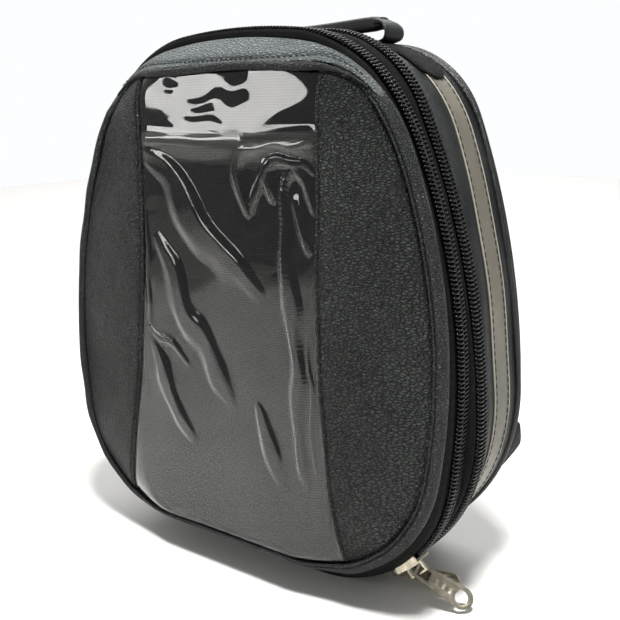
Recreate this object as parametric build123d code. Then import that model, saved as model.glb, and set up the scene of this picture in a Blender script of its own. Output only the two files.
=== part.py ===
from build123d import *
import math
import os

# Upright soft motorcycle tank bag with a map-window lid, a main zip and an expansion zip.
# Millimetres. X to the right, +Y towards the back panel, +Z up, the bag stands on z = 0.

# ---- driving dimensions -------------------------------------------------------------
FABRIC = 1.2                # leathercloth and mesh skins
LINING = 0.7                # inner lining
FOAM = 3.0                  # foam behind the lid skins
DOME = 9.5                  # how far the window stands proud of the lid's rim
RIM_LEAN = 2.8              # degrees that the lid's rim leans back
RIM_Y = -43.5               # rim plane at half height
MAIN_ZIP_Y = -27.8          # centre line of the main zip
EXPANSION_ZIP_Y = -11.4     # centre line of the expansion zip
SIDE_FRONT_Y = -5.0         # front edge of the leathercloth side wall
SIDE_STRAIGHT_Y = 1.5       # from here back the side wall is straight
STRIP_FRONT_Y = 3.7         # reflective strip
STRIP_WIDTH = 18.0
PIPING_Y = 30.5             # piping between side wall and rear mesh band
PIPING_WIDTH = 3.0
BACK_EDGE_Y = 46.0          # where the rear mesh band meets the back panel
BACK_Y = 54.5               # outer face of the back panel
COIL_GAP = 0.7              # half gap between the two halves of a zip
COIL_HALF = 4.0             # width of one half of the coil
COIL_OUT = 1.6              # how far the coil stands out of the wall line
TAPE_IN = 1.0               # the tape lies this far inside the wall line
TAPE = 0.8
TAPE_WIDTH = 5.4            # visible width of a tape half, coil included
SLIDER_HALF_WIDTH = 5.8
MID_Z = 154.8               # half height of the rim

# ---- outlines: (base half-width, bottom, top, corner, lower side and shoulder radii, turn angles)
RIM = (54.5, 17.4, 297.6, 76.5, 105, 83, (78.5, 81.8, 113.5, 171))
MAIN = (48.5, 4.3, 302.4, 82, 90, 79, (78, 86.6, 110.3, 173.2))
EXPANSION_LINE = (40, 1.6, 301.5, 95.5, 104, 64, (75.5, 89.8, 114.9, 175.6))
SIDE = (28.5, 1.8, 296.3, 107, 109, 64, (64.3, 93.7, 107.5, 172.8))
BACK = (23, 1.8, 297.0, 106, 111, 59, (62.2, 91.9, 110.4, 173.2))
CROWN = (44, 25, 284.5, 20, 260, 24, (82, 88, 95, 168))


def arc_radii(outline):
    """Radii of the five tangent arcs from the base line round to the top centre."""
    base, bottom, top, corner, lower, shoulder, turns = outline
    t1, t2, t3, t4 = (math.radians(t) for t in turns)
    width = base + corner * math.sin(t1) + lower * (math.sin(t2) - math.sin(t1))
    width += shoulder * (math.sin(t4) - math.sin(t3))
    height = top - bottom - corner * (1 - math.cos(t1))
    height -= lower * (math.cos(t1) - math.cos(t2)) + shoulder * (math.cos(t3) - math.cos(t4))
    s1, s2 = math.sin(t3) - math.sin(t2), -math.sin(t4)
    c1, c2 = math.cos(t2) - math.cos(t3), math.cos(t4) + 1
    det = s1 * c2 - s2 * c1
    side = (-width * c2 - s2 * height) / det
    crown = (s1 * height + width * c1) / det
    return corner, lower, side, shoulder, crown


def outline_wire(outline, inset=0.0):
    """Closed outline in local x, y (y is height), moved inwards by inset."""
    base, bottom = outline[0], outline[1]
    angles = [math.radians(t) for t in (0, *outline[6], 180)]
    x, z = base, bottom + inset
    right = []
    for start, end, radius in zip(angles, angles[1:], arc_radii(outline)):
        r = radius - inset
        points = []
        for a in (start, (start + end) / 2, end):
            across, rise = math.sin(a) - math.sin(start), math.cos(start) - math.cos(a)
            points.append((x + r * across, z + r * rise))
        if end == math.pi:
            points[2] = (0.0, points[2][1])
        right.append(points)
        x, z = points[2]
    edges = [Edge.make_line((-base, bottom + inset), (base, bottom + inset))]
    edges += [Edge.make_three_point_arc(*p) for p in right]
    for p in reversed(right):
        edges.append(Edge.make_three_point_arc(*[(-q[0], q[1]) for q in reversed(p)]))
    return Wire(edges)


def half_width(outline, height):
    """Half-width of an outline at a height, on its lower corner and side arcs."""
    x, z = outline[0], outline[1]
    angles = [math.radians(t) for t in (0, *outline[6])]
    for start, end, radius in zip(angles, angles[1:], arc_radii(outline)):
        rise = radius * (math.cos(start) - math.cos(end))
        if z + rise >= height:
            turn = math.acos(math.cos(start) - (height - z) / radius)
            return x + radius * (math.sin(turn) - math.sin(start))
        x += radius * (math.sin(end) - math.sin(start))
        z += rise
    raise ValueError("height is above the shoulder")


def upright(y):
    """Plane at depth y whose local x is X and local y is Z; its normal is -Y."""
    return Plane(origin=(0, y, 0), x_dir=(1, 0, 0), z_dir=(0, -1, 0))


def leaning(forward):
    """The rim plane moved forward; heights stay true heights."""
    a = math.radians(RIM_LEAN)
    start = (0, RIM_Y - forward - MID_Z * math.tan(a), 0)
    return Plane(origin=start, x_dir=(1, 0, 0), z_dir=(0, -math.cos(a), math.sin(a)))


def section(outline, plane, inset=0.0):
    return plane * Face(outline_wire(outline, inset))


def block(x0, x1, y0, y1, z0, z1):
    return Pos((x0 + x1) / 2, (y0 + y1) / 2, (z0 + z1) / 2) * Box(x1 - x0, y1 - y0, z1 - z0)


def prism(outline, y0, y1, inset):
    return extrude(section(outline, upright(y1), inset), y1 - y0)


def ring(outline, y0, y1, outer, inner):
    """Straight band between depths y0 and y1 and between two insets."""
    return prism(outline, y0, y1, outer) - prism(outline, y0 - 1, y1 + 1, inner)


def band(first, y0, second, y1, outer, inner):
    """Tapered band between two different outlines."""
    out = loft([section(first, upright(y0), outer), section(second, upright(y1), outer)], ruled=True)
    core = loft([section(first, upright(y0), inner), section(second, upright(y1), inner)], ruled=True)
    return out - core


LID_EDGE_Y = MAIN_ZIP_Y - SLIDER_HALF_WIDTH - 0.4


def lid_cap(inset):
    """Solid bounded by the lid's wall and domed front, inset by one wall depth."""
    parts = [
        section(MAIN, upright(LID_EDGE_Y), inset),
        section(RIM, leaning(0.0), inset),
        section(CROWN, leaning(DOME - inset), inset * 0.5),
    ]
    return loft(parts, ruled=True)


def lid_skin(outer, inner):
    return lid_cap(outer) - lid_cap(inner)


nodes = {}


def add(name, shape):
    """Keeps the piece itself; offcuts that a trimming cut leaves at its edges are dropped."""
    nodes[name] = max(shape.solids(), key=lambda solid: solid.volume)


# ---- lid --------------------------------------------------------------------------------
BAND_Z = 284.0              # lower edge of the top band
SEAM_TOP, SEAM_MID, SEAM_BOTTOM = 63.0, 64.0, 82.0
FRONT_FAR, FRONT_NEAR = -75.0, -20.0


def window_zone(grow=0.0):
    """Everything between the two window seams and under the top band."""
    right = [(SEAM_BOTTOM + grow, 0), (SEAM_MID + grow, MID_Z), (SEAM_TOP + grow, BAND_Z)]
    left = [(-x, z) for x, z in reversed(right)]
    edges = [
        Edge.make_three_point_arc(*right),
        Edge.make_line(right[2], left[0]),
        Edge.make_three_point_arc(*left),
        Edge.make_line(left[2], right[0]),
    ]
    return extrude(upright(FRONT_NEAR) * Face(Wire(edges)), FRONT_NEAR - FRONT_FAR)


def rim_welt():
    """Bound edge round the lid's rim."""
    outer = extrude(section(RIM, leaning(-1.2), -1.4), 3.4)
    return outer - extrude(section(RIM, leaning(-2.2), 2.0), 5.4)


def make_lid():
    welt = rim_welt()
    skin = lid_skin(0, FABRIC) - welt
    zone = window_zone()
    upper = block(-150, 150, FRONT_FAR, FRONT_NEAR, BAND_Z, 320)
    front = skin & extrude(section(RIM, leaning(-1.2), -3), 30)
    sides = front - zone - upper
    add("lid_panel_left", sides & block(-150, 0, FRONT_FAR, FRONT_NEAR, 0, 320))
    add("lid_panel_right", sides & block(0, 150, FRONT_FAR, FRONT_NEAR, 0, 320))
    add("lid_top_band", front & upper)
    add("lid_gusset", skin - extrude(section(RIM, leaning(-1.2), -3), 30))
    add("lid_rim_welt", welt)
    clear = (lid_skin(0, 0.6) - welt) & window_zone(-0.2) & front_room()
    add("window_sheet", clear)
    backing = (lid_skin(0.9, 1.7) - welt) & window_zone(-0.2) & front_room()
    add("window_backing", backing)
    add("lid_foam", lid_skin(FABRIC + 1.6, FABRIC + 1.6 + FOAM) - welt)
    add("lid_lining", lid_skin(FABRIC + 1.9 + FOAM, FABRIC + 1.9 + FOAM + LINING))


def front_room():
    return extrude(section(RIM, leaning(-1.0), 2.2), 30) & block(-150, 150, -90, 0, 0, BAND_Z - 0.2)


def window_trims():
    """Hem strip across the window and the soft piping under the top band."""
    face_y = RIM_Y - DOME
    lean = math.tan(math.radians(RIM_LEAN))
    hem_z = 247.0
    hem_y = face_y + (hem_z - MID_Z) * lean
    add("window_hem", block(-60, 60, hem_y - 1.2, hem_y - 0.35, hem_z - 4, hem_z + 4))
    cord_y = face_y + (BAND_Z - MID_Z) * lean
    along = Plane(origin=(-60, cord_y - 2.1, BAND_Z), x_dir=(0, 1, 0), z_dir=(1, 0, 0))
    cord = extrude(along * Circle(1.9), 120)
    add("top_piping", cord)


# ---- zips -------------------------------------------------------------------------------
def corner_centre(outline):
    """Centre and radius of the lower right corner arc."""
    return outline[0], outline[1] + outline[3], outline[3]


def zip_half(outline, y_centre, side, cut=None):
    """Coil half and tape half on one side of a zip; side is -1 in front, +1 behind."""
    edges = sorted((y_centre + side * COIL_GAP, y_centre + side * (COIL_GAP + COIL_HALF)))
    coil = ring(outline, *edges, -COIL_OUT, TAPE_IN - 0.1)
    reach = sorted((y_centre + side * COIL_GAP, y_centre + side * (COIL_GAP + TAPE_WIDTH)))
    tape = ring(outline, *reach, TAPE_IN, TAPE_IN + TAPE)
    return (coil - cut, tape - cut) if cut else (coil, tape)


SLIDER_LENGTH = 16.0
BAIL_AXIS = 6.6             # hinge line of the pull above the zip line
MAIN_SLIDER_ANGLE = 43.0    # degrees from straight down, round the corner arc
EXPANSION_SLIDER_ANGLE = 28.5


def sector(outline, y0, y1, inset_out, inset_in, a0, a1):
    """Piece of a band that follows the corner arc from angle a0 to a1."""
    cx, cz, radius = corner_centre(outline)
    plane = Plane(origin=(cx, y1, cz), x_dir=(1, 0, 0), z_dir=(0, -1, 0))
    r_out, r_in = radius - inset_out, radius - inset_in
    points = {}
    for name, r in (("out", r_out), ("in", r_in)):
        points[name] = [
            (r * math.sin(math.radians(a)), -r * math.cos(math.radians(a))) for a in (a0, (a0 + a1) / 2, a1)
        ]
    edges = [
        Edge.make_three_point_arc(*points["out"]),
        Edge.make_line(points["out"][2], points["in"][2]),
        Edge.make_three_point_arc(*reversed(points["in"])),
        Edge.make_line(points["in"][0], points["out"][0]),
    ]
    return extrude(plane * Face(Wire(edges)), y1 - y0)


def slider(outline, y, angle):
    """Zip slider: outer and inner plates, side flanges, a post at the nose and a bail."""
    half = math.degrees(SLIDER_LENGTH / 2 / outline[3])
    a0, a1 = angle - half, angle + half
    w = SLIDER_HALF_WIDTH
    body = sector(outline, y - w, y + w, -3.8, -2.0, a0, a1)
    body += sector(outline, y - w, y + w, 2.4, 3.8, a0, a1)
    for side in (-1, 1):
        y0, y1 = sorted((y + side * (w - 0.8), y + side * w))
        body += sector(outline, y0, y1, -2.1, 0.5, a0, a1)
    body += sector(outline, y - 0.4, y + 0.4, -2.1, 2.5, a0, a0 + half * 0.4)
    bail = sector(outline, y - 0.8, y + 0.8, -9.8, -3.7, angle - half * 0.72, angle + half * 0.72)
    window = sector(outline, y - 1.5, y + 1.5, -8.6, -4.6, angle - half * 0.55, angle + half * 0.55)
    return body + (bail - window)


def bail_point(outline, y, angle):
    cx, cz, radius = corner_centre(outline)
    a, r = math.radians(angle), radius + BAIL_AXIS
    return Vector(cx + r * math.sin(a), y, cz - r * math.cos(a))


PULL_LENGTH = 28.0          # hinge line to the centre of the tip hole
PULL_TIP_RADIUS = 5.8
PULL_ROOT_HALF = 4.0
PULL_THICKNESS = 1.8


def pull(root, direction, across):
    """Flat zip pull: window for the bail at the root, oval pits and a round hole at the tip."""
    along, width = Vector(*direction).normalized(), Vector(*across)
    width = (width - along * width.dot(along)).normalized()
    plane = Plane(origin=root, x_dir=along, z_dir=along.cross(width))
    rise = PULL_TIP_RADIUS - PULL_ROOT_HALF
    flank = math.asin(rise / PULL_LENGTH)
    top = (PULL_LENGTH - PULL_TIP_RADIUS * math.sin(flank), PULL_TIP_RADIUS * math.cos(flank))
    edges = [
        Edge.make_line((-0.7, -PULL_ROOT_HALF), (top[0], -top[1])),
        Edge.make_three_point_arc((top[0], -top[1]), (PULL_LENGTH + PULL_TIP_RADIUS, 0), top),
        Edge.make_line(top, (-0.7, PULL_ROOT_HALF)),
        Edge.make_line((-0.7, PULL_ROOT_HALF), (-0.7, -PULL_ROOT_HALF)),
    ]
    plate = extrude(Face(Wire(edges)), PULL_THICKNESS / 2, both=True)
    plate -= Pos(4.2, 0, 0) * Box(7.0, 5.4, 4)
    plate -= Pos(PULL_LENGTH - 0.6, 0, 0) * Cylinder(3.9, 4)
    for i in range(3):
        pit = extrude(SlotOverall(3.4, 1.6, rotation=90), 0.4)
        plate -= Pos(11.5 + 4.0 * i, 0, PULL_THICKNESS / 2 - 0.3) * pit
    return plane * plate


MAIN_PULL_DIRECTION = (0.79, 0.34, -0.51)
MAIN_PULL_ACROSS = (0.0765, 0.771, 0.6325)
EXPANSION_PULL_DIRECTION = (0.95, 0.28, -0.08)
EXPANSION_PULL_ACROSS = (-0.2, 0.95, 0.2)
HINGE_HALF = 78.0           # half length of the lid's fabric hinge
MAIN_BAY_Z = (18.5, 36.5)   # the closed main slider fills this gap in the lid's half of the zip
EXPANSION_BAY_X = (76.0, 95.0)


def make_zips():
    hinge_box = block(-HINGE_HALF, HINGE_HALF, -70, 0, -5, 40)
    slider_bay = block(60, 150, -70, 0, *MAIN_BAY_Z)
    coil, tape = zip_half(MAIN, MAIN_ZIP_Y, -1, hinge_box + slider_bay)
    add("main_coil_lid", coil)
    add("main_tape_lid", tape)
    coil, tape = zip_half(MAIN, MAIN_ZIP_Y, 1, hinge_box)
    add("main_coil_body", coil)
    add("main_tape_body", tape)
    slider_bay = block(*EXPANSION_BAY_X, -40, 20, -5, 40)
    coil, tape = zip_half(EXPANSION_LINE, EXPANSION_ZIP_Y, -1, slider_bay)
    add("expansion_coil_front", coil)
    add("expansion_tape_front", tape)
    coil, tape = zip_half(EXPANSION_LINE, EXPANSION_ZIP_Y, 1)
    add("expansion_coil_back", coil)
    add("expansion_tape_back", tape)
    front = MAIN_ZIP_Y + SLIDER_HALF_WIDTH + 0.3
    back = EXPANSION_ZIP_Y - SLIDER_HALF_WIDTH - 0.3
    add("middle_band", band(MAIN, front, EXPANSION_LINE, back, -0.2, 0.7))
    fold = ring(MAIN, LID_EDGE_Y + 0.2, front - 0.2, 0, FABRIC)
    add("lid_hinge_fabric", fold & block(-HINGE_HALF + 0.5, HINGE_HALF - 0.5, -70, 0, -5, 40))
    gusset = ring(EXPANSION_LINE, EXPANSION_ZIP_Y - 7, EXPANSION_ZIP_Y + 7, 6, 14)
    add("expansion_gusset", gusset)
    add("main_slider", slider(MAIN, MAIN_ZIP_Y, MAIN_SLIDER_ANGLE))
    add("expansion_slider", slider(EXPANSION_LINE, EXPANSION_ZIP_Y, EXPANSION_SLIDER_ANGLE))
    root = bail_point(MAIN, MAIN_ZIP_Y, MAIN_SLIDER_ANGLE)
    print("main slider centre", corner_centre(MAIN), "pull root", root)
    add("main_pull", pull(root, MAIN_PULL_DIRECTION, MAIN_PULL_ACROSS))
    root = bail_point(EXPANSION_LINE, EXPANSION_ZIP_Y, EXPANSION_SLIDER_ANGLE)
    print("expansion slider centre", corner_centre(EXPANSION_LINE), "pull root", root)
    add("expansion_pull", pull(root, EXPANSION_PULL_DIRECTION, EXPANSION_PULL_ACROSS))


# ---- body -------------------------------------------------------------------------------
def make_body():
    wall = band(EXPANSION_LINE, SIDE_FRONT_Y, SIDE, SIDE_STRAIGHT_Y, 0, 0.9)
    wall += ring(SIDE, SIDE_STRAIGHT_Y, PIPING_Y, 0, FABRIC)
    add("side_wall", wall)
    add("reflective_strip", ring(SIDE, STRIP_FRONT_Y + 0.3, STRIP_FRONT_Y + STRIP_WIDTH, -0.6, -0.05))
    add("rear_piping", ring(SIDE, PIPING_Y, PIPING_Y + PIPING_WIDTH, -1.8, FABRIC))
    add("rear_mesh_band", band(SIDE, PIPING_Y + PIPING_WIDTH, BACK, BACK_EDGE_Y, 0, FABRIC))
    outer = loft([section(BACK, upright(BACK_EDGE_Y), 0), section(BACK, upright(BACK_Y), 7)], ruled=True)
    edge = section(BACK, upright(BACK_EDGE_Y), 1.2)
    core = loft([edge, section(BACK, upright(BACK_Y - 1.0), 8)], ruled=True)
    add("back_mesh", outer - core)
    add("back_foam", prism(BACK, BACK_EDGE_Y + 0.4, BACK_Y - 1.4, 9))
    add("back_board", prism(BACK, BACK_EDGE_Y - 2.6, BACK_EDGE_Y - 0.4, 3))
    floor_y = BACK_EDGE_Y - 3.0
    cup = prism(BACK, PIPING_Y + 6, floor_y, 4) - prism(BACK, PIPING_Y, floor_y - LINING, 4.8)
    add("body_lining", cup + ring(BACK, EXPANSION_ZIP_Y + 9, PIPING_Y + 6, 4, 4.8))


# ---- handle and strap tabs --------------------------------------------------------------
HANDLE_Y = STRIP_FRONT_Y + STRIP_WIDTH / 2
HANDLE_HALF = 63.0
GRIP_Z = 304.3              # centre height of the grip
GRIP_HEIGHT = 7.4
GRIP_DEPTH = 8.4
LEG_WIDTH = 18.0
LEG_RADIUS = 6.8
LEG_THICKNESS = 2.0
PATCH_HALF = 96.0


def make_handle():
    top_only = block(-PATCH_HALF, PATCH_HALF, -60, 60, 200, 320)
    add("handle_patch", ring(SIDE, HANDLE_Y - 11, HANDLE_Y + 11, -2.4, -0.7) & top_only)
    grip = Pos(0, HANDLE_Y, GRIP_Z) * Box(2 * HANDLE_HALF - 0.6, GRIP_DEPTH, GRIP_HEIGHT)
    grip = fillet(grip.edges().filter_by(Axis.X), 2.4)
    add("handle_grip", grip)
    for name, side in (("handle_leg_left", -1), ("handle_leg_right", 1)):
        centre = (side * HANDLE_HALF, HANDLE_Y, GRIP_Z + GRIP_HEIGHT / 2 - LEG_RADIUS)
        tube = Cylinder(LEG_RADIUS, LEG_WIDTH) - Cylinder(LEG_RADIUS - LEG_THICKNESS, LEG_WIDTH + 2)
        tube = Pos(*centre) * Rot(90, 0, 0) * tube
        inner, outer = sorted((side * HANDLE_HALF, side * (HANDLE_HALF + 20)))
        add(name, tube & block(inner, outer, -60, 60, 200, 320))


TAB_Z0, TAB_Z1 = 56.0, 92.0
TAB_REACH = 13.6
TAB_ANGLE = 74.0            # degrees from sideways towards the back
TAB_THICKNESS = 2.0


def tab_line(side):
    """Lower and upper ends of the seam that a strap tab hinges on."""
    low = Vector(side * (half_width(BACK, TAB_Z0) + 2.7), BACK_EDGE_Y, TAB_Z0)
    high = Vector(side * (half_width(BACK, TAB_Z1) + 2.7), BACK_EDGE_Y, TAB_Z1)
    return low, high


def make_tabs():
    """Triangular webbing tabs at the lower back edges."""
    for name, side in (("strap_tab_right", 1), ("strap_tab_left", -1)):
        low, high = tab_line(side)
        up = (high - low).normalized()
        a = math.radians(TAB_ANGLE)
        out = Vector(side * math.cos(a), math.sin(a), 0)
        out = (out - up * out.dot(up)).normalized()
        plane = Plane(origin=low, x_dir=out, z_dir=out.cross(up))
        length = (high - low).length
        corners = [(1.2, 0), (0, 2), (0, length), (TAB_REACH, 17), (TAB_REACH - 1.2, 12), (4, 0)]
        add(name, extrude(plane * make_face(Polyline(*corners, close=True)), TAB_THICKNESS / 2, both=True))
        print(name, "hinge", low, "axis", up)


make_lid()
window_trims()
make_zips()
make_body()
make_handle()
make_tabs()

os.makedirs("parts", exist_ok=True)
for name, shape in nodes.items():
    export_step(shape, f"parts/{name}.step")
whole = Compound(children=[Compound(n.solids()) for n in nodes.values()])
size = whole.bounding_box()
print("box", size.min, size.max)
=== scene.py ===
import math
import random

import bmesh
import bpy
import numpy as np
from mathutils import Matrix, Vector


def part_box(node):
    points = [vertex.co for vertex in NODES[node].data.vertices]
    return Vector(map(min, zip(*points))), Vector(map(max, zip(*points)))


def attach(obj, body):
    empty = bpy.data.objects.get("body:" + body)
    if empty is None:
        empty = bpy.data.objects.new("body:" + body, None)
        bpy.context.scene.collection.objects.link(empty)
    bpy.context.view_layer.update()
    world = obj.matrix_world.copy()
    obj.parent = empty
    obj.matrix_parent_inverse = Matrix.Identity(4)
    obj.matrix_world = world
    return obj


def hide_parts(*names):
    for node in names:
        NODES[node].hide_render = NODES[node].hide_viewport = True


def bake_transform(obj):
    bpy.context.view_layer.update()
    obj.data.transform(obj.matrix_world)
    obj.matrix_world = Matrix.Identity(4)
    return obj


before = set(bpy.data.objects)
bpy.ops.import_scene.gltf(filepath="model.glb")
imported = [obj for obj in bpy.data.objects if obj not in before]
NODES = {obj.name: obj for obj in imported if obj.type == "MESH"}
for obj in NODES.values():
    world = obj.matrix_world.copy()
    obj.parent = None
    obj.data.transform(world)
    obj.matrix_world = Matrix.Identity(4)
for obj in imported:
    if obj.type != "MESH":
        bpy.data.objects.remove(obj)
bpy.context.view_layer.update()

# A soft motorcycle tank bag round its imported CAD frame. Metres, X right, +Y back, +Z up.

MM = 0.001
ROUND = 720                 # points round an outline
PITCH = 2.2 * MM            # teeth of the coil zips


# ---- camera --------------------------------------------------------------------------
AZIMUTH, ELEVATION, ROLL = (math.radians(a) for a in (37.52, 13.16, -1.18))
CAMERA_DISTANCE = 0.520
CAMERA_TARGET = Vector((0.0181, 0.0015, 0.1461))
LENS = 51.45


def make_camera():
    back = Vector((
        math.sin(AZIMUTH) * math.cos(ELEVATION),
        -math.cos(AZIMUTH) * math.cos(ELEVATION),
        math.sin(ELEVATION),
    ))
    level = Vector((math.cos(AZIMUTH), math.sin(AZIMUTH), 0))
    rise = back.cross(level)
    right = level * math.cos(ROLL) + rise * math.sin(ROLL)
    up = back.cross(right)
    data = bpy.data.cameras.new("camera")
    data.lens, data.sensor_width = LENS, 36
    data.clip_start, data.clip_end = 0.01, 50
    camera = bpy.data.objects.new("camera", data)
    camera.matrix_world = Matrix((right, up, back)).transposed().to_4x4()
    camera.location = CAMERA_TARGET + back * CAMERA_DISTANCE
    bpy.context.scene.collection.objects.link(camera)
    bpy.context.scene.camera = camera


make_camera()


# ---- outlines, read from the frame ---------------------------------------------------
def points_of(node):
    return np.array([v.co for v in NODES[node].data.vertices], float)


def hull(points):
    """Convex outline of x, z points, anticlockwise seen from the front."""
    todo = sorted({(round(float(x), 6), round(float(z), 6)) for x, z in points})

    def half(line):
        out = []
        for p in line:
            while len(out) > 1:
                (ax, az), (bx, bz) = out[-2], out[-1]
                if (bx - ax) * (p[1] - az) - (bz - az) * (p[0] - ax) > 0:
                    break
                out.pop()
            out.append(p)
        return out[:-1]

    return np.array(half(todo) + half(todo[::-1]))


def lengths(line):
    """Distance along a line at each of its points."""
    return np.append(0, np.cumsum(np.linalg.norm(np.diff(line, axis=0), axis=1)))


def evenly(line, count):
    """count points evenly spaced along an open line."""
    s = lengths(line)
    at = np.linspace(0, s[-1], count)
    return np.column_stack([np.interp(at, s, line[:, k]) for k in range(line.shape[1])])


def unit(vectors):
    return vectors / np.linalg.norm(vectors, axis=1)[:, None]


def normals(ring):
    d = np.roll(ring, -1, 0) - np.roll(ring, 1, 0)
    return unit(np.column_stack([d[:, 1], -d[:, 0]]))


def outline(points, grow=0.0, count=ROUND):
    """Even smooth outline of a node from the bottom centre, to the right and round."""
    polygon = hull(points[:, [0, 2]])
    low = polygon[:, 1].min() + 1e-6
    start = np.array([[0.0, polygon[:, 1].min()]])
    first = max(i for i, p in enumerate(polygon) if p[1] < low)
    polygon = np.vstack([start, np.roll(polygon, -first, 0), start])
    ring = evenly(polygon, count + 1)[:-1]
    for _ in range(6):
        ring = (np.roll(ring, 1, 0) + 2 * ring + np.roll(ring, -1, 0)) / 4
    return ring - normals(ring) * grow


RIM = outline(points_of("lid_rim_welt"), grow=1.4 * MM)
MAIN = outline(points_of("lid_gusset"))
SECOND = outline(points_of("expansion_coil_back"), grow=1.6 * MM)
SIDE = outline(points_of("reflective_strip"), grow=0.6 * MM)
BACK = outline(points_of("back_mesh"))
WELT = points_of("lid_rim_welt")
RIM_SLOPE, RIM_START = np.polyfit(WELT[:, 2], WELT[:, 1], 1)


def rim_y(z):
    return RIM_START + RIM_SLOPE * z


SHEET_POINTS = points_of("window_sheet")
DOME = float((rim_y(SHEET_POINTS[:, 2]) - SHEET_POINTS[:, 1]).max())
FOAM_POINTS = points_of("lid_foam")
FOAM_PROUD = rim_y(FOAM_POINTS[:, 2]) - FOAM_POINTS[:, 1]
CROWN = outline(FOAM_POINTS[FOAM_PROUD > FOAM_PROUD.max() - 0.4 * MM], grow=-1.4 * MM)
HALF_HEIGHT = (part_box("lid_gusset")[0].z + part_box("lid_gusset")[1].z) / 2


def gap(ring, xz):
    """Distance of x, z points outside a convex outline; negative inside."""
    a = ring[::3]
    n = normals(ring)[::3]
    flat = xz.reshape(-1, 2)
    out = np.empty(len(flat))
    for i in range(0, len(flat), 20000):
        part = flat[i:i + 20000]
        out[i:i + 20000] = (part @ n.T - (a * n).sum(1)).max(1)
    return out.reshape(xz.shape[:-1])


def waves(u, v, size, seed, count=7):
    """Soft random unevenness between about -1 and 1, from a few crossing sine waves."""
    rng = random.Random(seed)
    total = np.zeros(np.broadcast(u, v).shape)
    for _ in range(count):
        angle, phase = rng.uniform(0, math.pi), rng.uniform(0, 2 * math.pi)
        length = size * rng.uniform(0.6, 1.6)
        total = total + np.sin((u * math.cos(angle) + v * math.sin(angle)) * 2 * math.pi / length + phase)
    return total / math.sqrt(count)


def rumple(xz, size, seed):
    """Soft unevenness over a face, from its x, z points."""
    return waves(xz[..., 0], xz[..., 1], size, seed)


def ripple(along, size, seed):
    """Soft unevenness along one line, from the distance along it."""
    return waves(along, along * 0, size, seed)


def lid_height(xz):
    """How far the lid's front stands proud of the rim plane."""
    inside = np.maximum(-gap(RIM, xz), 0)
    outside = np.maximum(gap(CROWN, xz), 0)
    share = inside / np.maximum(inside + outside, 1e-6)
    return DOME * np.sin(share * math.pi / 2)


def on_front(xz, lift=0.0):
    """Points on the lid's front, lifted off it towards -Y."""
    x, z = xz[..., 0], xz[..., 1]
    y = rim_y(z) - lid_height(xz) - lift
    y = y - 0.5 * MM * waves(x, z, 0.09, 3) * np.clip(-gap(RIM, xz) / 0.02, 0, 1)
    return np.stack([x, y, z], -1)


# ---- meshes --------------------------------------------------------------------------
def shade_smooth(mesh):
    mesh.polygons.foreach_set("use_smooth", [True] * len(mesh.polygons))


def new_mesh(name, points, faces, uv=None):
    mesh = bpy.data.meshes.new(name)
    mesh.from_pydata(points.tolist(), [], faces)
    if uv is not None:
        layer = mesh.uv_layers.new(name="cloth")
        layer.data.foreach_set("uv", np.asarray(uv, np.float32).ravel())
    shade_smooth(mesh)
    piece = bpy.data.objects.new(name, mesh)
    bpy.context.scene.collection.objects.link(piece)
    return piece


def clean(piece, distance=2e-6):
    work = bmesh.new()
    work.from_mesh(piece.data)
    bmesh.ops.remove_doubles(work, verts=work.verts, dist=distance)
    bmesh.ops.dissolve_degenerate(work, edges=work.edges, dist=distance)
    bmesh.ops.recalc_face_normals(work, faces=work.faces)
    work.to_mesh(piece.data)
    work.free()
    shade_smooth(piece.data)
    return piece


def quads(rows, cols, wrap_rows=False, wrap_cols=False):
    """Corners of each quad of a grid as (row, column) arrays, before wrapping."""
    r = np.arange(rows if wrap_rows else rows - 1)
    c = np.arange(cols if wrap_cols else cols - 1)
    rr, cc = np.meshgrid(r, c, indexing="ij")
    return [(rr, cc), (rr, cc + 1), (rr + 1, cc + 1), (rr + 1, cc)]


def corner_uv(corners, u, v):
    """Texture coordinates of each quad's corners, in metres along the rows and the columns."""
    return np.stack([np.stack([u[b], v[a]], -1) for a, b in corners], 2).reshape(-1, 2)


def metres(points, wrap):
    """Distances along the middle row and the middle column of a grid."""
    row, col = points[len(points) // 2], points[:, points.shape[1] // 2]
    if wrap[1]:
        row = np.vstack([row, row[:1]])
    if wrap[0]:
        col = np.vstack([col, col[:1]])
    return lengths(row), lengths(col)


def grid(name, points, wrap_rows=False, wrap_cols=False):
    """Mesh over a rows x columns array of points; a closed profile gets flat ends."""
    rows, cols = points.shape[:2]
    corners = quads(rows, cols, wrap_rows, wrap_cols)
    faces = np.stack([(a % rows) * cols + b % cols for a, b in corners], -1).reshape(-1, 4)
    u, v = metres(points, (wrap_rows, wrap_cols))
    uv = corner_uv(corners, u, v)
    faces = faces.tolist()
    if wrap_rows and not wrap_cols:
        first = [r * cols for r in range(rows)]
        last = [r * cols + cols - 1 for r in reversed(range(rows))]
        faces += [first, last]
        uv = np.vstack([uv, np.zeros((2 * rows, 2))])
    return clean(new_mesh(name, points.reshape(-1, 3), faces, uv))


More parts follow.
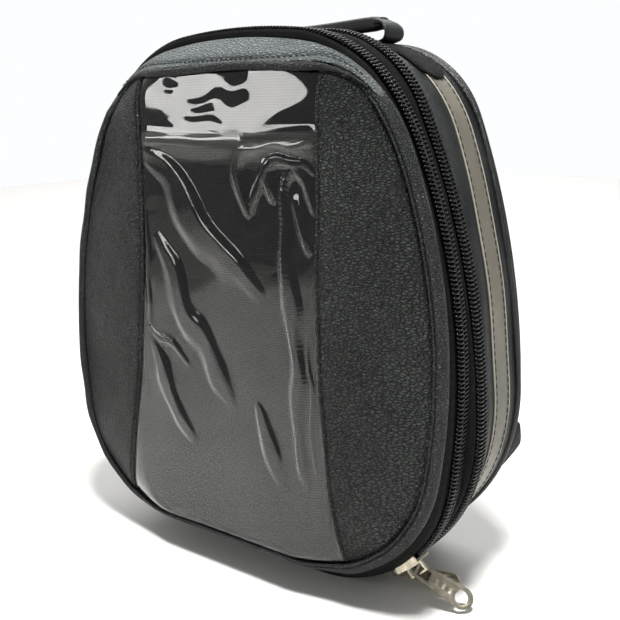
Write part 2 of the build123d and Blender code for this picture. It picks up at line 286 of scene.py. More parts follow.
def slab(name, front, back):
    """Closed sheet between two grids of the same size."""
    rows, cols = front.shape[:2]
    corners = quads(rows, cols)
    face = np.stack([a * cols + b for a, b in corners], -1).reshape(-1, 4)
    u, v = metres(front, (False, False))
    uv = corner_uv(corners, u, v)
    half = rows * cols
    border = [(r, 0) for r in range(rows)] + [(rows - 1, c) for c in range(1, cols)]
    border += [(r, cols - 1) for r in reversed(range(rows - 1))]
    border += [(0, c) for c in reversed(range(1, cols - 1))]
    rim, rim_uv = [], []
    for (r0, c0), (r1, c1) in zip(border, border[1:] + border[:1]):
        a, b = r0 * cols + c0, r1 * cols + c1
        rim.append([a, b, b + half, a + half])
        rim_uv += [(u[c0], v[r0]), (u[c1], v[r1]), (u[c1], v[r1]), (u[c0], v[r0])]
    faces = face.tolist() + (face[:, ::-1] + half).tolist() + rim
    uv_back = uv.reshape(-1, 4, 2)[:, ::-1].reshape(-1, 2)
    points = np.vstack([front.reshape(-1, 3), back.reshape(-1, 3)])
    return clean(new_mesh(name, points, faces, np.vstack([uv, uv_back, rim_uv])))


def plate(name, front, thick):
    """Closed sheet of one thickness behind a grid."""
    return slab(name, front, front + np.array([0, thick, 0]))


def at_depth(xz, y):
    return np.stack([xz[..., 0], y, xz[..., 1]], -1)


def loop(ring, out, y):
    """A line round the bag: an outline moved outwards, at depth y; both may vary along it."""
    p = ring + normals(ring) * np.reshape(out, (-1, 1))
    return np.column_stack([p[:, 0], np.broadcast_to(y, len(p)), p[:, 1]])


def round_the_bag(ring):
    """Distance round an outline at each of its points."""
    return np.arange(ROUND) / ROUND * lengths(ring)[-1]


def band(name, profile, wave=0.0, wave_size=0.08, seed=1):
    """Closed band round the bag through a closed profile of (outline, outwards, y)."""
    uneven = wave * ripple(round_the_bag(MAIN), wave_size, seed)
    lines = [loop(ring, np.broadcast_to(out, ROUND) + uneven, y) for ring, out, y in profile]
    return grid(name, np.stack(lines), wrap_rows=True, wrap_cols=True)


def stretch(lines, start, end):
    """Columns start to end of lines round the bag; end may pass the first column."""
    return lines[:, np.arange(start, end + 1) % lines.shape[1]]


def place(ring, x, z):
    """Index of the outline's point nearest to x, z."""
    return int(np.argmin(((ring - np.array([x, z])) ** 2).sum(1)))


def mix(a, b, share):
    return a * (1 - share) + b * share


def coons(bottom, top, left, right):
    """Grid of points inside four border curves, rows from bottom to top."""
    u = np.linspace(0, 1, len(bottom))[None, :, None]
    v = np.linspace(0, 1, len(left))[:, None, None]
    rows = (1 - v) * bottom[None] + v * top[None]
    cols = (1 - u) * left[:, None] + u * right[:, None]
    corner = (1 - u) * (1 - v) * bottom[0] + u * (1 - v) * bottom[-1]
    corner = corner + (1 - u) * v * top[0] + u * v * top[-1]
    return rows + cols - corner


def panel_inside(ring, rows=170, cols=150):
    """Grid that fills an outline, with its corners on the four corner arcs."""
    n = len(ring)
    a, b = round(n * 0.115), round(n * 0.395)
    right = evenly(ring[a:b + 1], rows)
    top = evenly(ring[b:n - b + 1][::-1], cols)
    left = evenly(ring[n - b:n - a + 1][::-1], rows)
    bottom = evenly(np.roll(ring, a, 0)[:2 * a + 1], cols)
    return coons(bottom, top, left, right)


def around(sides):
    """Cosine and sine of evenly spaced angles round a section."""
    angles = [2 * math.pi * k / sides for k in range(sides)]
    return [(math.cos(a), math.sin(a)) for a in angles]


def squared(c, power):
    """Sine or cosine with its roundness changed; a power below 1 gives a squarer section."""
    return np.sign(c) * abs(c) ** power


def quarter(t, least=0):
    """Quarter round from least at 0 to 1 at 1."""
    return np.sqrt(np.clip(1 - (1 - t) ** 2, least, 1))


def tube(name, path, radius, sides=8, reference=(0, 1, 0), closed=False):
    """Round tube along a path; radius may vary along it. reference is never along the path."""
    ref = np.broadcast_to(np.asarray(reference, float), path.shape)
    if closed:
        t = np.roll(path, -1, 0) - np.roll(path, 1, 0)
    else:
        t = np.gradient(path, axis=0)
    t = unit(t)
    a = unit(ref - (ref * t).sum(1)[:, None] * t)
    b = np.cross(t, a)
    r = np.broadcast_to(radius, len(path))[:, None]
    rows = [path + r * (a * c + b * s) for c, s in around(sides)]
    return grid(name, np.stack(rows), wrap_rows=True, wrap_cols=closed)


def bead(sides=6, rings=5):
    """Unit stitch along x: a rounded bar one long, with radius one across."""
    points = [(-0.5, 0, 0)]
    for i in range(1, rings + 1):
        a = math.pi * i / (rings + 1)
        wide = math.sin(a) ** 0.6
        points += [(-0.5 * math.cos(a), wide * c, wide * s) for c, s in around(sides)]
    points.append((0.5, 0, 0))
    faces = [[0, 1 + (k + 1) % sides, 1 + k] for k in range(sides)]
    for i in range(rings - 1):
        a, b = 1 + i * sides, 1 + (i + 1) * sides
        faces += [[a + k, a + (k + 1) % sides, b + (k + 1) % sides, b + k] for k in range(sides)]
    last, base = len(points) - 1, 1 + (rings - 1) * sides
    faces += [[last, base + k, base + (k + 1) % sides] for k in range(sides)]
    return np.array(points), faces


def stitches(name, lines, pitch=3.4 * MM, length=2.5 * MM, radius=0.3 * MM, seed=5):
    """Row of thread stitches along each line, each slightly out of true."""
    rng = random.Random(seed)
    shape, shape_faces = bead()
    points, faces = [], []
    for line in lines:
        s = lengths(line)
        for at in np.arange(pitch / 2, s[-1] - pitch / 2, pitch):
            ends = [np.array([np.interp(q, s, line[:, k]) for k in range(3)])
                    for q in (at - length / 2, at + length / 2)]
            x = (ends[1] - ends[0]) / np.linalg.norm(ends[1] - ends[0])
            y = np.cross(x, (0.02, -0.9, 0.43))
            y /= np.linalg.norm(y)
            z = np.cross(x, y)
            x = x + y * rng.uniform(-0.07, 0.07)
            middle = (ends[0] + ends[1]) / 2
            base = len(points) * len(shape)
            points.append(middle + np.outer(shape[:, 0] * length, x)
                          + radius * (np.outer(shape[:, 1], y) + np.outer(shape[:, 2], z)))
            faces += [[i + base for i in f] for f in shape_faces]
    return new_mesh(name, np.vstack(points), faces)


# ---- materials -----------------------------------------------------------------------
WAVE_PERIOD = 0.3142        # of a wave texture's bands at scale 1, in metres


class Surface:
    """A Principled material that is built up node by node."""

    def __init__(self, name, colour, rough, **values):
        self.material = bpy.data.materials.new(name)
        self.material.use_nodes = True
        self.material.diffuse_color = (*colour, 1)
        self.tree = self.material.node_tree
        self.shader = self.tree.nodes["Principled BSDF"]
        self.shader.inputs["Base Color"].default_value = (*colour, 1)
        self.shader.inputs["Roughness"].default_value = rough
        for key, value in values.items():
            self.shader.inputs[key.replace("_", " ")].default_value = value
        self.object = self.add("ShaderNodeTexCoord").outputs["Object"]

    def add(self, kind, props=None, **inputs):
        node = self.tree.nodes.new(kind)
        for key, value in (props or {}).items():
            setattr(node, key, value)
        for key, value in inputs.items():
            self.put(value, node.inputs[key.replace("_", " ")])
        return node

    def put(self, value, socket):
        if isinstance(value, bpy.types.NodeSocket):
            self.tree.links.new(value, socket)
        else:
            socket.default_value = value

    def scaled(self, scale, source=None):
        """Coordinates in metres times a scale along each axis."""
        node = self.add("ShaderNodeMapping", {"vector_type": "POINT"}, Scale=scale)
        self.put(source or self.object, node.inputs["Vector"])
        return node.outputs["Vector"]

    def cloth(self):
        """Coordinates along and across a strip, in metres."""
        return self.add("ShaderNodeUVMap", {"uv_map": "cloth"}).outputs["UV"]

    def noise(self, scale, detail=3.0, source=None, rough=0.5):
        node = self.add("ShaderNodeTexNoise", Scale=scale, Detail=detail, Roughness=rough)
        self.put(source or self.object, node.inputs["Vector"])
        return node.outputs["Fac"]

    def cells(self, scale, source, feature="DISTANCE_TO_EDGE", randomness=1.0):
        props = {"feature": feature}
        node = self.add("ShaderNodeTexVoronoi", props, Scale=scale, Randomness=randomness)
        self.put(source, node.inputs["Vector"])
        return node.outputs["Distance"]

    def wave(self, scale, source, direction="X", distortion=0.0):
        props = {"bands_direction": direction}
        node = self.add("ShaderNodeTexWave", props, Scale=scale, Distortion=distortion)
        self.put(source, node.inputs["Vector"])
        return node.outputs["Fac"]

    def ramp(self, value, low, high, to_low=0.0, to_high=1.0):
        node = self.add("ShaderNodeMapRange", {"interpolation_type": "SMOOTHSTEP"}, Value=value)
        for key, number in zip(("From Min", "From Max", "To Min", "To Max"), (low, high, to_low, to_high)):
            node.inputs[key].default_value = number
        return node.outputs["Result"]

    def math(self, kind, a, b=0.0):
        node = self.add("ShaderNodeMath", {"operation": kind})
        self.put(a, node.inputs[0])
        self.put(b, node.inputs[1])
        return node.outputs[0]

    def colours(self, share, low, high):
        """Base colour between two colours."""
        node = self.add("ShaderNodeMix", {"data_type": "RGBA"})
        self.put(share, node.inputs[0])
        node.inputs[6].default_value = (*low, 1)
        node.inputs[7].default_value = (*high, 1)
        self.put(node.outputs[2], self.shader.inputs["Base Color"])

    def soiled(self, share, scale):
        """A share that is dimmed in soft patches."""
        return self.math("MULTIPLY", share, self.ramp(self.noise(scale, 4), 0.3, 0.7, 0.6, 1.0))

    def rough(self, share, low, high):
        self.put(self.ramp(share, 0, 1, low, high), self.shader.inputs["Roughness"])

    def bump(self, height, depth, strength=1.0):
        """Adds a relief of the given depth in metres on top of any earlier one."""
        node = self.add("ShaderNodeBump", Height=height, Distance=depth, Strength=strength)
        if self.shader.inputs["Normal"].links:
            self.put(self.shader.inputs["Normal"].links[0].from_socket, node.inputs["Normal"])
        self.put(node.outputs["Normal"], self.shader.inputs["Normal"])


def leather(name, dark, light, pebble=1.4 * MM, rough=(0.3, 0.42), depth=1.8 * MM, **values):
    """Embossed imitation leather: long convex pebbles with narrow creases, and fine pores."""
    s = Surface(name, light, sum(rough) / 2, **values)
    stir = s.add("ShaderNodeTexNoise", Scale=380.0, Detail=2.0)
    s.put(s.object, stir.inputs["Vector"])
    shift = s.add("ShaderNodeVectorMath", {"operation": "SCALE"}, Scale=0.0005)
    s.put(stir.outputs["Color"], shift.inputs[0])
    moved = s.add("ShaderNodeVectorMath", {"operation": "ADD"})
    s.put(s.object, moved.inputs[0])
    s.put(shift.outputs[0], moved.inputs[1])
    stretched = s.scaled((0.5, 1.0, 1.0), moved.outputs[0])
    big = s.ramp(s.cells(1 / pebble, stretched), 0.0, 0.4)
    small = s.ramp(s.cells(2.3 / pebble, stretched), 0.0, 0.42)
    relief = s.math("ADD", s.math("MULTIPLY", big, 0.74), s.math("MULTIPLY", small, 0.26))
    # Base colour follows the pebble relief: near black in the creases and lighter on the pebble tops, painted
    # shade in the creases; the soft dimmed patches are random tone.
    s.colours(s.soiled(s.ramp(relief, 0.0, 0.62), 14), dark, light)
    s.rough(s.noise(90, 3), *rough)
    s.bump(s.noise(3200, 2), 0.04 * MM, 0.6)
    s.bump(relief, depth)
    return s.material


def smooth_leather(name, dark, light, rough=(0.34, 0.5), **values):
    """Thin smooth-grained imitation leather with faint creasing."""
    s = Surface(name, light, sum(rough) / 2, **values)
    s.colours(s.ramp(s.noise(22, 4), 0.3, 0.7), dark, light)
    s.rough(s.noise(120, 3), *rough)
    s.bump(s.ramp(s.cells(1500, s.scaled((0.7, 1, 1))), 0.0, 0.3), 0.09 * MM)
    s.bump(s.noise(75, 4, rough=0.6), 0.5 * MM, 0.5)
    return s.material


def woven(name, dark, light, thread=0.45 * MM, rough=(0.7, 0.9), depth=0.12 * MM, **values):
    """Plain weave: crossing threads along and across the strip."""
    s = Surface(name, light, sum(rough) / 2, **values)
    cloth = s.cloth()
    scale = WAVE_PERIOD / (4 * thread)
    warp = s.wave(scale, cloth, "X", 0.3)
    weft = s.wave(scale, cloth, "Y", 0.3)
    thread_height = s.math("MAXIMUM", warp, weft)
    # Colour follows the thread height: darker between the threads, painted shade in the gaps of the weave.
    s.colours(s.soiled(thread_height, 30), dark, light)
    s.rough(s.noise(300, 3), *rough)
    s.bump(thread_height, depth)
    return s.material


def ribbed(name, dark, light, pitch=0.8 * MM, **values):
    """Zip tape and webbing: fine ribs along the strip, crossed by the weft."""
    s = Surface(name, light, 0.6, **values)
    cloth = s.cloth()
    ribs = s.wave(WAVE_PERIOD / (2 * pitch), cloth, "Y", 0.2)
    weft = s.wave(WAVE_PERIOD / (1.2 * MM), cloth, "DIAGONAL", 0.4)
    relief = s.math("ADD", s.math("MULTIPLY", ribs, 0.6), s.math("MULTIPLY", weft, 0.4))
    # Colour follows the ribs and weft: darker in the grooves, painted shade between the ribs.
    s.colours(s.soiled(relief, 40), dark, light)
    s.rough(s.noise(400, 2), 0.45, 0.7)
    s.bump(relief, 0.16 * MM)
    return s.material


def spacer_mesh(name, dark, light, hole=2.6 * MM, **values):
    """Padded spacer mesh: a knit of small round holes."""
    s = Surface(name, light, 0.75, **values)
    spots = s.ramp(s.cells(1 / hole, s.scaled((1.0, 1.0, 1.0)), "F1", 0.25), 0.22, 0.42)
    # Colour follows the knit: darkest in the middle of each hole, painted shade in the holes.
    s.colours(s.soiled(spots, 25), dark, light)
    s.rough(s.noise(250, 3), 0.6, 0.85)
    s.bump(s.noise(1800, 3), 0.1 * MM)
    s.bump(spots, 0.7 * MM)
    return s.material


def fuzzy(name, dark, light, **values):
    """Brushed loop pile."""
    s = Surface(name, light, 0.85, **values)
    pile = s.noise(1100, 5, rough=0.7)
    # Colour follows the pile's height: darker where it is low, painted shade in the pile.
    s.colours(s.ramp(pile, 0.35, 0.7), dark, light)
    s.rough(s.noise(300, 3), 0.75, 0.95)
    s.bump(pile, 0.5 * MM)
    return s.material


def moulded(name, dark, light, rough, **values):
    """Drawn nylon or plastic with faint streaks."""
    s = Surface(name, light, sum(rough) / 2, **values)
    s.colours(s.noise(150, 3), dark, light)
    s.rough(s.noise(500, 4), *rough)
    s.bump(s.noise(2400, 2), 0.02 * MM, 0.5)
    return s.material


def plated(name):
    """Antique nickel: warm satin plating, slightly tarnished, with fine scratches."""
    s = Surface(name, (0.42, 0.38, 0.29), 0.3, Metallic=1.0)
    s.colours(s.ramp(s.noise(260, 4), 0.3, 0.75), (0.40, 0.365, 0.28), (0.66, 0.60, 0.48))
    s.rough(s.noise(700, 5), 0.26, 0.42)
    scratch = s.noise(900, 3, s.scaled((0.08, 1.0, 1.0)))
    s.bump(scratch, 0.02 * MM, 0.5)
    return s.material


def clear_sheet(name):
    """Soft clear PVC: glossy on both sides, with faint clouding and fine scuffs."""
    s = Surface(name, (0.93, 0.93, 0.91), 0.05, IOR=1.40, Transmission_Weight=1.0)
    s.rough(s.ramp(s.noise(45, 5), 0.45, 0.8), 0.03, 0.12)
    s.bump(s.noise(70, 2), 0.05 * MM, 0.5)
    return s.material


def reflective(name):
    """Grey-beige reflective tape: beaded surface, slight creases and soiling."""
    s = Surface(name, (0.27, 0.25, 0.20), 0.5, Metallic=0.1)
    s.colours(s.ramp(s.noise(18, 5), 0.3, 0.7), (0.11, 0.101, 0.078), (0.175, 0.16, 0.126))
    s.rough(s.noise(200, 3), 0.38, 0.55)
    s.bump(s.cells(5200, s.object, "F1"), 0.05 * MM, 0.6)
    s.bump(s.noise(60, 4, rough=0.65), 0.5 * MM, 0.5)
    return s.material


def grey(level):
    return (level, level, level)


LEATHER = leather("leathercloth", (0.002, 0.0025, 0.002), (0.050, 0.057, 0.052), Specular_IOR_Level=0.17)
# Lighter copy of the panel leather for the top band, about three times as light: painted light from above on the
# band.
BAND_LEATHER_PAINTED_LIGHT = leather("leathercloth_band_painted_light", (0.06, 0.066, 0.066), (0.155, 0.176, 0.178), 1.4 * MM,
                       depth=1.1 * MM, Specular_IOR_Level=0.3)
WELT_LEATHER = leather("welt_leather", (0.008, 0.009, 0.009), (0.034, 0.038, 0.035), 1.3 * MM,
                       depth=0.8 * MM, Specular_IOR_Level=0.2)
WALL_LEATHER = smooth_leather("wall_leather", (0.010, 0.0115, 0.011), (0.021, 0.024, 0.023),
                              Specular_IOR_Level=0.22)
STRAP_LEATHER = smooth_leather("strap_leather", (0.003, 0.0035, 0.0035), (0.010, 0.011, 0.011),
                               Specular_IOR_Level=0.35)
PIPING = smooth_leather("black_piping", grey(0.003), (0.009, 0.009, 0.0095))
BLACK_CLOTH = woven("black_cloth", grey(0.0008), grey(0.005), Specular_IOR_Level=0.08)
BACKING_CLOTH = woven("backing_cloth", (0.0015, 0.0015, 0.0014), (0.008, 0.0075, 0.007), 0.35 * MM,
                      Specular_IOR_Level=0.08)
BAND_CLOTH = woven("band_cloth", grey(0.001), grey(0.006), 0.5 * MM, Specular_IOR_Level=0.1)
GREY_LINING = woven("grey_lining", (0.02, 0.02, 0.023), (0.07, 0.07, 0.078), 0.35 * MM, (0.5, 0.7))
TAPE = ribbed("zip_tape", grey(0.0008), (0.0045, 0.0045, 0.005), Specular_IOR_Level=0.08)
WEBBING = ribbed("webbing", grey(0.0015), grey(0.008), 1.4 * MM, Specular_IOR_Level=0.15)
MESH = spacer_mesh("spacer_mesh", grey(0.0015), (0.022, 0.022, 0.023), 2.2 * MM)
PILE = fuzzy("loop_pile", grey(0.0015), (0.012, 0.012, 0.0125), Specular_IOR_Level=0.2)
COIL = moulded("coil_nylon", grey(0.002), (0.008, 0.008, 0.0085), (0.2, 0.32), Specular_IOR_Level=0.3)
HEM = moulded("hem_plastic", grey(0.006), (0.014, 0.013, 0.013), (0.3, 0.45))
THREAD = moulded("dark_thread", grey(0.002), (0.007, 0.0075, 0.007), (0.45, 0.6), Specular_IOR_Level=0.15)
SEAM_THREAD = moulded("seam_thread", (0.012, 0.0125, 0.012), (0.035, 0.037, 0.035), (0.4, 0.55))
HEM_THREAD = moulded("hem_thread", (0.03, 0.028, 0.027), (0.08, 0.074, 0.07), (0.45, 0.6))
TAPE_THREAD = moulded("tape_thread", (0.008, 0.0075, 0.007), (0.022, 0.02, 0.018), (0.45, 0.6))
TAPE_EDGE = moulded("tape_edge", (0.24, 0.23, 0.19), (0.36, 0.34, 0.29), (0.4, 0.55))
CLEAR = clear_sheet("clear_sheet")
STRIP = reflective("reflective_tape")
METAL = plated("antique_nickel")


def settle(piece, material, slot, body, *nodes):
    """Gives a piece its material, hangs it on its body when that is one name, else only bakes its placement, and
    hides the nodes it stands for; the slot is not used.
    """
    piece.data.materials.clear()
    piece.data.materials.append(material)
    if isinstance(body, str):
        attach(piece, body)
    else:
        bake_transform(piece)
    if nodes:
        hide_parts(*nodes)
    return piece


def sew(name, lines, thread, body, *shape, **named):
    """Row of stitches along each line, on a body."""
    settle(stitches(name, lines, *shape, **named), thread, "webbing", body)


# ---- lid -----------------------------------------------------------------------------
SEAM_NARROW, SEAM_FLARE = 62 * MM, 17.5 * MM
SEAM_WAIST_Z, SEAM_FOOT_Z = 200 * MM, 33 * MM
BAND_Z = float(points_of("window_sheet")[:, 2].max()) + 0.2 * MM
BAND_FLAT, BAND_END, BAND_DROP = 56 * MM, 95 * MM, 19 * MM
WELT_WIDTH = 5.2 * MM
PIPING_END, PIPING_RADIUS = 88 * MM, 2.15 * MM
PANEL_CLOTH = 1.2 * MM      # thickness of the padded leathercloth
SEAM_INSET = 2.6 * MM       # from the window seam to its stitches


def seam_x(z):
    low = np.maximum(SEAM_WAIST_Z - z, 0) / (SEAM_WAIST_Z - SEAM_FOOT_Z)
    return SEAM_NARROW + SEAM_FLARE * low ** 2


def band_edge_z(x):
    """Lower edge of the top band, which falls away towards the rim."""
    return BAND_Z - BAND_DROP * (np.maximum(np.abs(x) - BAND_FLAT, 0) / (BAND_END - BAND_FLAT)) ** 2


def seam_foot():
    """Height at which the window seam meets the rim."""
    right = RIM[:ROUND // 2]
    k = int(np.argmin(np.where(right[:, 1] < HALF_HEIGHT, np.abs(right[:, 0] - seam_x(right[:, 1])), 1)))
    return k, right[k]


FOOT_INDEX, FOOT = seam_foot()
BAND_INDEX = place(RIM, BAND_END, float(band_edge_z(BAND_END)))
SEAM_TOP = np.array([SEAM_NARROW, float(band_edge_z(SEAM_NARROW))])


def seam_line(count, shift=0.0):
    z = np.linspace(FOOT[1], SEAM_TOP[1], count)
    line = np.column_stack([seam_x(z), z])
    line[0] = FOOT
    return evenly(line + [shift, 0], count)


def panel_grid(rows=300, cols=110):
    """Right side panel between the window seam, the rim and the band's lower edge."""
    rim = evenly(RIM[FOOT_INDEX:BAND_INDEX + 1], rows)
    x = np.linspace(SEAM_TOP[0], RIM[BAND_INDEX][0], cols)
    top = evenly(np.column_stack([x, band_edge_z(x)]), cols)
    top[-1] = rim[-1]
    inner = seam_line(rows)
    inner[0] = rim[0]
    top[0] = inner[-1]
    bottom = np.repeat(rim[:1], cols, 0)
    return coons(bottom, top, inner, rim)


def fold_under(distance, roll, drop):
    """Lift of a turned edge: it rounds down over the last few millimetres."""
    return -drop * (1 - quarter(np.clip(distance / roll, 0, 1)))


def mirrored(xz):
    return xz * [-1, 1]


def panel_lift(xz):
    """Lift of a side panel's face: turned under at the seam, dimpled along its stitches, softly uneven."""
    from_seam = np.abs(np.abs(xz[..., 0]) - seam_x(xz[..., 1]))
    dimple = -0.5 * MM * np.exp(-((from_seam - SEAM_INSET) / (1.1 * MM)) ** 2)
    soft = np.clip(from_seam / (12 * MM), 0, 1) * rumple(xz, 0.06, 8)
    crease = -1.5 * MM * np.exp(-((-gap(RIM, xz) - WELT_WIDTH - 0.4 * MM) / (1.1 * MM)) ** 2)
    return 1.6 * MM + fold_under(from_seam, 1.6 * MM, 1.9 * MM) + dimple + crease + 0.55 * MM * soft


def make_side_panels():
    xz = panel_grid()
    for side, name, node in ((1, "side_panel_right", "lid_panel_right"),
                             (-1, "side_panel_left", "lid_panel_left")):
        here = xz if side > 0 else mirrored(xz)
        front = on_front(here, panel_lift(here))
        piece = plate(name, front, PANEL_CLOTH)
        settle(piece, LEATHER, "leathercloth", "lid", node)


def make_top_band():
    count = 300
    over = RIM[BAND_INDEX:ROUND - BAND_INDEX + 1][::-1]
    top = evenly(over, count)
    x = np.linspace(top[0][0], top[-1][0], count)
    low = np.column_stack([x, band_edge_z(x)])
    low[0], low[-1] = top[0], top[-1]
    low = evenly(low, count)
    rows = np.linspace(0, 1, 36)[:, None, None]
    xz = low[None] * (1 - rows) + top[None] * rows
    from_edge = np.linalg.norm(xz - low[None], axis=2)
    lift = 2.0 * MM + fold_under(from_edge, 1.6 * MM, 1.4 * MM)
    lift = lift + 0.3 * MM * rumple(xz, 0.03, 4)
    lift = lift - 0.9 * MM * np.exp(-((from_edge - 3.2 * MM) / (1.2 * MM)) ** 2)
    front = on_front(xz, lift)
    round_the_rim = [front]
    for out, back in ((0.7, 0.7), (1.1, 1.9), (1.1, 3.6)):
        turned = loop(RIM, out * MM, 0)[BAND_INDEX:ROUND - BAND_INDEX + 1][::-1]
        turned = evenly(turned, count)
        turned[:, 1] = front[-1][:, 1] + back * MM
        round_the_rim.append(turned[None])
    front = np.vstack(round_the_rim)
    under = front.copy()
    under[:-3, :, 1] += PANEL_CLOTH
    under[-3:, :, 2] -= PANEL_CLOTH
    piece = slab("top_band", front, under)
    # The top band gets the lighter copy of the leather: painted light from above.
    settle(piece, BAND_LEATHER_PAINTED_LIGHT, "leathercloth", "lid", "lid_top_band")
    x = np.linspace(-PIPING_END, PIPING_END, 260)
    edge = np.column_stack([x, band_edge_z(x) - 0.8 * MM + 0.7 * MM * ripple(x, 0.05, 6)])
    line = on_front(edge, 2.3 * MM + 0.35 * MM * ripple(x, 0.03, 9))
    taper = np.clip((PIPING_END - np.abs(x)) / (30 * MM), 0.3, 1)
    cord = tube("top_piping_roll", line, PIPING_RADIUS * taper, 14)
    settle(cord, WELT_LEATHER, "welt_leathercloth", "lid", "top_piping")
    x = np.linspace(2 * MM - PIPING_END, PIPING_END - 2 * MM, 200)
    above = np.column_stack([x, band_edge_z(x) + 3.3 * MM])
    sew("top_band_stitches", [on_front(above, 1.5 * MM)], SEAM_THREAD, "lid")


def make_rim_welt():
    """Bound edge that wraps the lid's rim, with the seam stitched just inside it."""
    uneven = 0.22 * MM * ripple(round_the_bag(RIM), 0.035, 12)
    index = np.arange(ROUND)
    under = np.clip(np.minimum(index - BAND_INDEX + 4, ROUND - BAND_INDEX + 4 - index) / 14, 0, 1)
    inner = -WELT_WIDTH / MM
    profile = [(inner, -0.4), (inner, 1.7), (inner + 0.5, 2.7), (-4.0, 3.1), (-3.6, 2.9), (-3.3, 2.2),
               (-2.9, 2.9), (-1.8, 3.4), (-0.4, 3.1), (0.8, 1.9), (1.5, 0.4), (1.6, -1.2), (0.9, -2.6),
               (-0.6, -2.8), (-1.0, -1.4), (-2.6, -0.6)]
    lines = []
    for out, lift in profile:
        out = out * MM
        line = loop(RIM, out + uneven * (lift > 0) - 1.0 * MM * under, 0)
        xz = line[:, [0, 2]]
        y = rim_y(xz[:, 1]) - lid_height(xz) - lift * MM - uneven * (lift > 0)
        y = y + (lift > 0) * 3.4 * MM * under
        lines.append(np.column_stack([xz[:, 0], y, xz[:, 1]]))
    welt = grid("rim_welt", np.stack(lines), wrap_rows=True, wrap_cols=True)
    settle(welt, WELT_LEATHER, "welt_leathercloth", "lid", "lid_rim_welt")
    inside = loop(RIM, -3.3 * MM, 0)[:, [0, 2]]
    line = on_front(inside, 2.55 * MM)
    lines = [line[8:BAND_INDEX - 4], line[ROUND - BAND_INDEX + 4:-8]]
    sew("rim_stitches", lines, THREAD, "lid")


def make_seam_stitches():
    right = seam_line(400, SEAM_INSET)[12:-4]
    lines = [on_front(line, panel_lift(line) + 0.15 * MM) for line in (right, mirrored(right))]
    sew("window_seam_stitches", lines, THREAD, "lid", length=2.3 * MM, radius=0.36 * MM)


def fold(xz, path, width, height, tilt=0.0):
    """Fold of the clear sheet along a path of x, z points in millimetres.

    It has a flat or tilted top, steep flanks and pointed ends."""
    fine = arc_line(np.array(path, float) * MM, 70)
    t = unit(np.gradient(fine, axis=0))
    fade = np.sin(np.linspace(0, math.pi, len(fine))) ** 0.55
    flat = xz.reshape(-1, 2)
    nearest, chosen = np.full(len(flat), np.inf), np.zeros(len(flat), int)
    for k, p in enumerate(fine):
        near = ((flat - p) ** 2).sum(1)
        closer = near < nearest
        nearest[closer], chosen[closer] = near[closer], k
    away = flat - fine[chosen]
    side = np.sign(t[chosen, 0] * away[:, 1] - t[chosen, 1] * away[:, 0])
    share = np.sqrt(nearest) / (width * MM * (0.3 + 0.7 * fade[chosen]))
    flank = np.clip((share - 0.3) / 0.7, 0, 1)
    top = 1 - flank * flank * (3 - 2 * flank)
    rise = height * MM * top * fade[chosen] * (1 + tilt * side * np.clip(share, 0, 1))
    return rise.reshape(xz.shape[:-1])


HEM_LOW, HEM_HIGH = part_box("window_hem")
HEM_Z = (HEM_LOW.z + HEM_HIGH.z) / 2

# each fold's path as x, z in mm, with its half width and height in mm, and its tilt
FOLDS = [
    ([(-62, 240), (-50, 232), (-37, 225), (-29, 214), (-22, 201), (-14, 192), (0, 184), (14, 176),
      (32, 164)], 13.0, 2.0, 0.35),
    ([(-52, 194), (-43, 176), (-37, 164), (-28, 150), (-18, 136), (-8, 122), (2, 108), (8, 100)],
     11.5, 1.8, 0.35),
    ([(-57, 131), (-49, 114), (-42, 99), (-33, 84), (-23, 72)], 10.0, 1.7, 0.3),
    ([(47, 232), (41, 221), (41, 208), (44, 190), (46, 172), (48, 158), (50, 142), (54, 130), (53, 115),
      (50, 100), (52, 86), (57, 73), (60, 58)], 6.5, 2.0, 0.0),
    ([(60, 244), (40, 246), (20, 244), (10, 238), (8, 229), (13, 218), (21, 206)], 6.0, 1.7, 0.2),
    ([(61, 229), (51, 236), (36, 235), (27, 228), (23, 220), (22, 208)], 4.4, 1.5, 0.2),
    ([(31, 238), (33, 226), (35, 214)], 5.5, 1.5, 0.0),
    ([(43, 222), (48, 233), (55, 226), (58, 218), (63, 209)], 4.5, 1.3, 0.0),
    ([(49, 220), (54, 207), (60, 190)], 5.5, 1.2, 0.0),
    ([(26, 106), (31, 92), (37, 77), (45, 60)], 6.5, 1.4, 0.0),
    ([(-60, 138), (-45, 131), (-28, 118)], 3.4, 1.1, 0.0),
    ([(-61, 205), (-59, 165), (-58, 138)], 3.0, 1.0, 0.0),
    ([(59, 150), (61, 120), (62, 95), (66, 70)], 2.8, 0.9, 0.0),
]
# centre x, z and half width, half height in mm, with the slope that the sheet has there
DENTS = [((7, 280), (16, 12), 0.11), ((-8, 262), (16, 5), 0.10), ((-40, 276), (9, 5), -0.12)]


